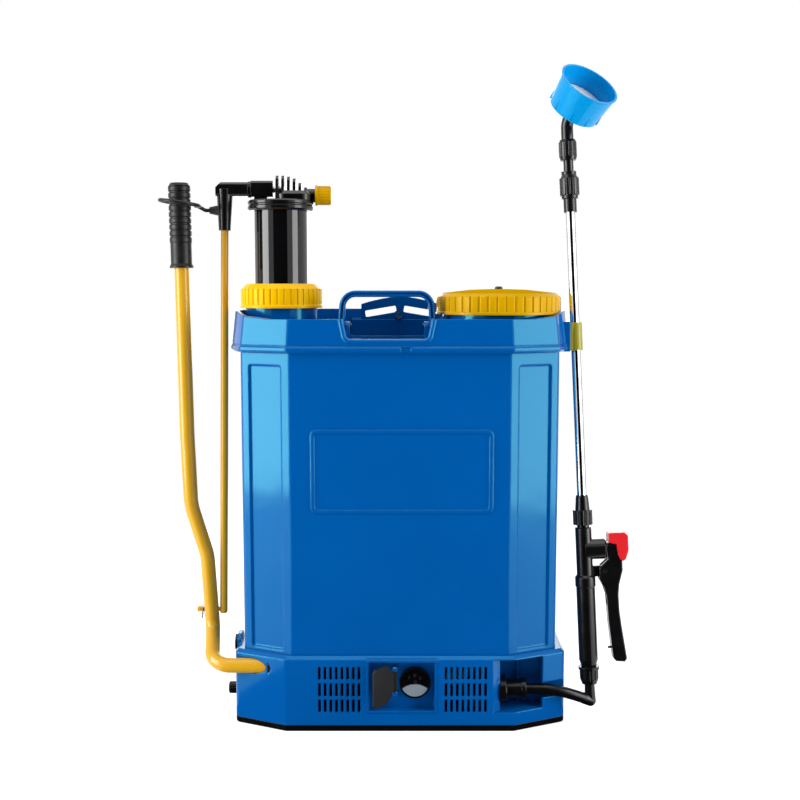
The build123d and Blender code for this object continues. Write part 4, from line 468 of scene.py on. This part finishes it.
def top_light(size, brightness):
    """A square soft light overhead."""
    lamp = bpy.data.lights.new("top light", "AREA")
    lamp.shape = "SQUARE"
    lamp.size = size
    lamp.energy = brightness * pi * size ** 2
    in_scene("top light", lamp).location = (0.0, -0.1, 2.3)


def front_camera(stage):
    """The camera before the sprayer, looking a little down."""
    camera = bpy.data.cameras.new("camera")
    camera.sensor_width = 36.0
    camera.lens = stage.lens
    camera.clip_end = 50.0
    holder = in_scene("camera", camera)
    holder.location = (0.0, -stage.back, stage.height)
    holder.rotation_euler = (radians(90) - stage.tilt, 0.0, 0.0)
    return holder


class SPRAYER_OT_stage(bpy.types.Operator):
    """Camera, floor, background and soft lights"""

    bl_idname = "sprayer.stage"
    bl_label = "Stage"

    def execute(self, context):
        scene = context.scene
        stage = scene.sprayer_stage
        scene.camera = front_camera(stage)
        scene.view_settings.view_transform = "Standard"
        studio_world()
        reach, low = stage.floor_end, -0.0003
        square = ((-reach, -reach, low), (reach, -reach, low), (reach, reach, low), (-reach, reach, low))
        plane("floor", square, floor_material())
        dark_cards()
        box_light("left box", azimuth=-67.0, distance=1.6, height=0.7, wide=0.8, tall=1.4,
                  brightness=stage.left_light)
        box_light("right box", azimuth=66.0, distance=1.4, height=0.7, wide=0.7, tall=1.4,
                  brightness=stage.right_light)
        behind = box_light("back box", azimuth=180.0, distance=2.4, height=1.0, wide=1.8, tall=1.5,
                           brightness=stage.back_light)
        behind.visible_camera = False
        top_light(1.6, stage.top_light)
        return {"FINISHED"}


# ---------------------------------------------------------------- hose
HOSE_ROUTE = (
    (0.1400, -0.0800, 0.0430),
    (0.1610, -0.0800, 0.0430),
    (0.1790, -0.0815, 0.0415),
    (0.1970, -0.0795, 0.0365),
    (0.2117, -0.0749, 0.0299),
)


class SPRAYER_OT_hose(bpy.types.Operator):
    """Delivery hose from the outlet nut to the elbow under the handle"""

    bl_idname = "sprayer.hose"
    bl_label = "Delivery hose"

    def execute(self, context):
        data = bpy.data.curves.new("delivery_hose_tube", "CURVE")
        data.dimensions = "3D"
        data.bevel_depth = sizes().hose_radius
        data.bevel_resolution = 10
        data.use_fill_caps = True
        line = data.splines.new("NURBS")
        line.points.add(len(HOSE_ROUTE) - 1)
        for point, place in zip(line.points, HOSE_ROUTE):
            point.co = (*place, 1.0)
        line.order_u = 3
        line.use_endpoint_u = True
        line.resolution_u = 12
        data.materials.append(make_materials()["hose black"])
        hose = in_scene("delivery_hose_tube", data)
        join_node(hose, "delivery_hose")
        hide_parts("delivery_hose")
        return {"FINISHED"}


# ---------------------------------------------------------------- gauze of the filter
GAUZE_FOOT = (0.0475, 0.396)     # radius and height of its lower rim
GAUZE_HEAD = (0.0531, 0.4625)    # and of its upper rim


def gauze_nodes():
    """A tapered net of fine wires. Returns the node group and the identifiers of its inputs."""
    tree = bpy.data.node_groups.new("filter gauze", "GeometryNodeTree")
    tree.interface.new_socket("Geometry", in_out="OUTPUT", socket_type="NodeSocketGeometry")
    wanted = (("Uprights", "NodeSocketInt"), ("Rings", "NodeSocketInt"), ("Wire", "NodeSocketFloat"),
              ("Material", "NodeSocketMaterial"))
    found = {name: tree.interface.new_socket(name, in_out="INPUT", socket_type=kind).identifier
             for name, kind in wanted}
    start = tree.nodes.new("NodeGroupInput")
    end = tree.nodes.new("NodeGroupOutput")
    (low_r, low), (high_r, high) = GAUZE_FOOT, GAUZE_HEAD
    cone = tree.nodes.new("GeometryNodeMeshCone")
    cone.fill_type = "NONE"
    cone.inputs["Radius Top"].default_value = high_r
    cone.inputs["Radius Bottom"].default_value = low_r
    cone.inputs["Depth"].default_value = high - low
    place = tree.nodes.new("GeometryNodeTransform")
    middle = (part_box("filter_basket")[0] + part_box("filter_basket")[1]) / 2
    place.inputs["Translation"].default_value = (middle.x, middle.y, low)
    lines = tree.nodes.new("GeometryNodeMeshToCurve")
    ring = tree.nodes.new("GeometryNodeCurvePrimitiveCircle")
    ring.inputs["Resolution"].default_value = 5
    wires = tree.nodes.new("GeometryNodeCurveToMesh")
    plain = tree.nodes.new("GeometryNodeRealizeInstances")
    finish = tree.nodes.new("GeometryNodeSetMaterial")
    tree.links.new(start.outputs["Uprights"], cone.inputs["Vertices"])
    tree.links.new(start.outputs["Rings"], cone.inputs["Side Segments"])
    tree.links.new(start.outputs["Wire"], ring.inputs["Radius"])
    tree.links.new(start.outputs["Material"], finish.inputs["Material"])
    for giver, taker in ((cone.outputs["Mesh"], place.inputs["Geometry"]),
                         (place.outputs["Geometry"], lines.inputs["Mesh"]),
                         (lines.outputs["Curve"], wires.inputs["Curve"]),
                         (ring.outputs["Curve"], wires.inputs["Profile Curve"]),
                         (wires.outputs["Mesh"], plain.inputs["Geometry"]),
                         (plain.outputs["Geometry"], finish.inputs["Geometry"]),
                         (finish.outputs["Geometry"], end.inputs["Geometry"])):
        tree.links.new(giver, taker)
    return tree, found


def make_plain(piece):
    """Keeps the mesh that the piece's modifiers make, and drops the modifiers."""
    graph = bpy.context.evaluated_depsgraph_get()
    data = bpy.data.meshes.new_from_object(piece.evaluated_get(graph))
    piece.modifiers.clear()
    piece.data = data


class SPRAYER_OT_gauze(bpy.types.Operator):
    """Gauze inside the filter basket"""

    bl_idname = "sprayer.gauze"
    bl_label = "Filter gauze"

    def execute(self, context):
        piece = in_scene("filter_gauze", bpy.data.meshes.new("filter_gauze"))
        tree, found = gauze_nodes()
        net = piece.modifiers.new("net", "NODES")
        net.node_group = tree
        chosen = sizes()
        net[found["Uprights"]] = chosen.uprights
        net[found["Rings"]] = chosen.rings
        net[found["Wire"]] = chosen.wire
        net[found["Material"]] = make_materials()["plain steel"]
        context.view_layer.update()
        make_plain(piece)
        join_node(piece, "filter_basket")
        return {"FINISHED"}


# ---------------------------------------------------------------- finishes of the frame
FINISHES = {
    "tank": {
        "tank blue": ("tank_shell", "tank_tray", "tank_necks", "base_shell", "strap_plate", "carry_handle"),
        "satin black": ("base_plate", "strap_ring"),
        "white plastic": ("tank_drain",),
        "plain steel": ("fixing_screws",),
        "pin steel": ("hinge_pins",),
    },
    "filler": {
        # The lid's yellow carries painted shade, darker than the pump nut's.
        "cap yellow with painted shade": ("lid",),
        "soft black": ("lid_seal",),
        "satin black": ("vent_valve",),
        "white plastic": ("filter_basket",),
    },
    "pump": {
        # The outlet cap's yellow carries painted shade, darker than the pump nut's.
        "cap yellow with painted shade": ("outlet_cap",),
        "nut yellow": ("pump_nut",),
        "gloss black": ("air_chamber",),
        "satin black": ("chamber_head", "arm_bracket", "foot_valve"),
        "soft black": ("pump_gasket", "piston_cup"),
        "white plastic": ("pump_barrel",),
        "plain steel": ("valve_ball", "chamber_fasteners"),
    },
    "lever": {
        "lever paint": ("pump_lever", "link_rod"),
        "grip black": ("lever_grip", "grip_hook"),
        "satin black": ("link_elbow", "lever_bush", "lever_collar"),
        "plain steel": ("link_cotter",),
    },
    "lance": {
        "satin black": ("outlet_fitting", "outlet_nut", "hose_tail", "handle_bottom_nut", "handle_body",
                        "trigger_lever", "lance_fittings", "nozzle_neck"),
        "chrome plate": ("lance_tube",),
        "latch red": ("trigger_latch",),
        "clip olive": ("lance_clip",),
        "bare brass": ("valve_stem", "nozzle_tip"),
        "white plastic": ("lock_nuts",),
    },
    "cup": {
        "cup blue": ("spray_cup",),
        "white plastic": ("cup_disc",),
    },
    "window": {
        "satin black": ("charging_socket", "switch_knob", "speed_controller"),
        "plain steel": ("socket_pins",),
        "grey plastic": ("socket_key", "battery_pack", "electric_pump"),
        "soft black": ("socket_flap", "inner_hoses"),
    },
}


class FinishGroup:
    """What the operators share that give one group of CAD nodes its finishes."""

    def execute(self, context):
        for finish, names in FINISHES[self.group].items():
            finish_nodes(names, finish)
        return {"FINISHED"}


class SPRAYER_OT_tank(FinishGroup, bpy.types.Operator):
    """Tank, base, carry handle and their screws"""

    bl_idname = "sprayer.tank"
    bl_label = "Tank and base"
    group = "tank"


class SPRAYER_OT_filler(FinishGroup, bpy.types.Operator):
    """Lid, seal, vent and basket"""

    bl_idname = "sprayer.filler"
    bl_label = "Filler"
    group = "filler"


class SPRAYER_OT_pump(FinishGroup, bpy.types.Operator):
    """Air chamber, head, nut, barrel and valve"""

    bl_idname = "sprayer.pump"
    bl_label = "Lever pump"
    group = "pump"


class SPRAYER_OT_lever(FinishGroup, bpy.types.Operator):
    """Lever, grip, link and hook"""

    bl_idname = "sprayer.lever"
    bl_label = "Lever and link"
    group = "lever"


class SPRAYER_OT_lance(FinishGroup, bpy.types.Operator):
    """Outlet, handle, trigger, latch, lance and clip"""

    bl_idname = "sprayer.lance"
    bl_label = "Lance"
    group = "lance"


class SPRAYER_OT_cup(FinishGroup, bpy.types.Operator):
    """Spray cup and its floor"""

    bl_idname = "sprayer.cup"
    bl_label = "Spray cup"
    group = "cup"


class SPRAYER_OT_window(FinishGroup, bpy.types.Operator):
    """Charging socket, flap, knob and what is inside the base"""

    bl_idname = "sprayer.window"
    bl_label = "Charging window and battery pump"
    group = "window"


OPERATORS = (SPRAYER_OT_stage, SPRAYER_OT_hose, SPRAYER_OT_gauze, SPRAYER_OT_tank, SPRAYER_OT_filler,
             SPRAYER_OT_pump, SPRAYER_OT_lever, SPRAYER_OT_lance, SPRAYER_OT_cup, SPRAYER_OT_window)


# ---------------------------------------------------------------- panel and registration
class SPRAYER_PT_panel(bpy.types.Panel):
    """Settings and makers of the sprayer"""

    bl_idname = "SPRAYER_PT_panel"
    bl_label = "Knapsack sprayer"
    bl_space_type = "VIEW_3D"
    bl_region_type = "UI"
    bl_category = "Sprayer"

    def draw(self, context):
        scene = context.scene
        for group in (scene.sprayer_colours, scene.sprayer_sizes, scene.sprayer_stage):
            box = self.layout.box()
            for name in group.__annotations__:
                box.prop(group, name)
        for operator in OPERATORS:
            self.layout.operator(operator.bl_idname)


GROUPS = {"sprayer_colours": SprayerColours, "sprayer_sizes": SprayerSizes, "sprayer_stage": SprayerStage}
CLASSES = (*GROUPS.values(), *OPERATORS, SPRAYER_PT_panel)


def register():
    for cls in CLASSES:
        bpy.utils.register_class(cls)
    for name, group in GROUPS.items():
        setattr(bpy.types.Scene, name, bpy.props.PointerProperty(type=group))


def unregister():
    for name in GROUPS:
        delattr(bpy.types.Scene, name)
    for cls in reversed(CLASSES):
        bpy.utils.unregister_class(cls)


def main():
    register()
    for operator in OPERATORS:
        group, name = operator.bl_idname.split(".")
        getattr(getattr(bpy.ops, group), name)()


if __name__ == "__main__":
    main()
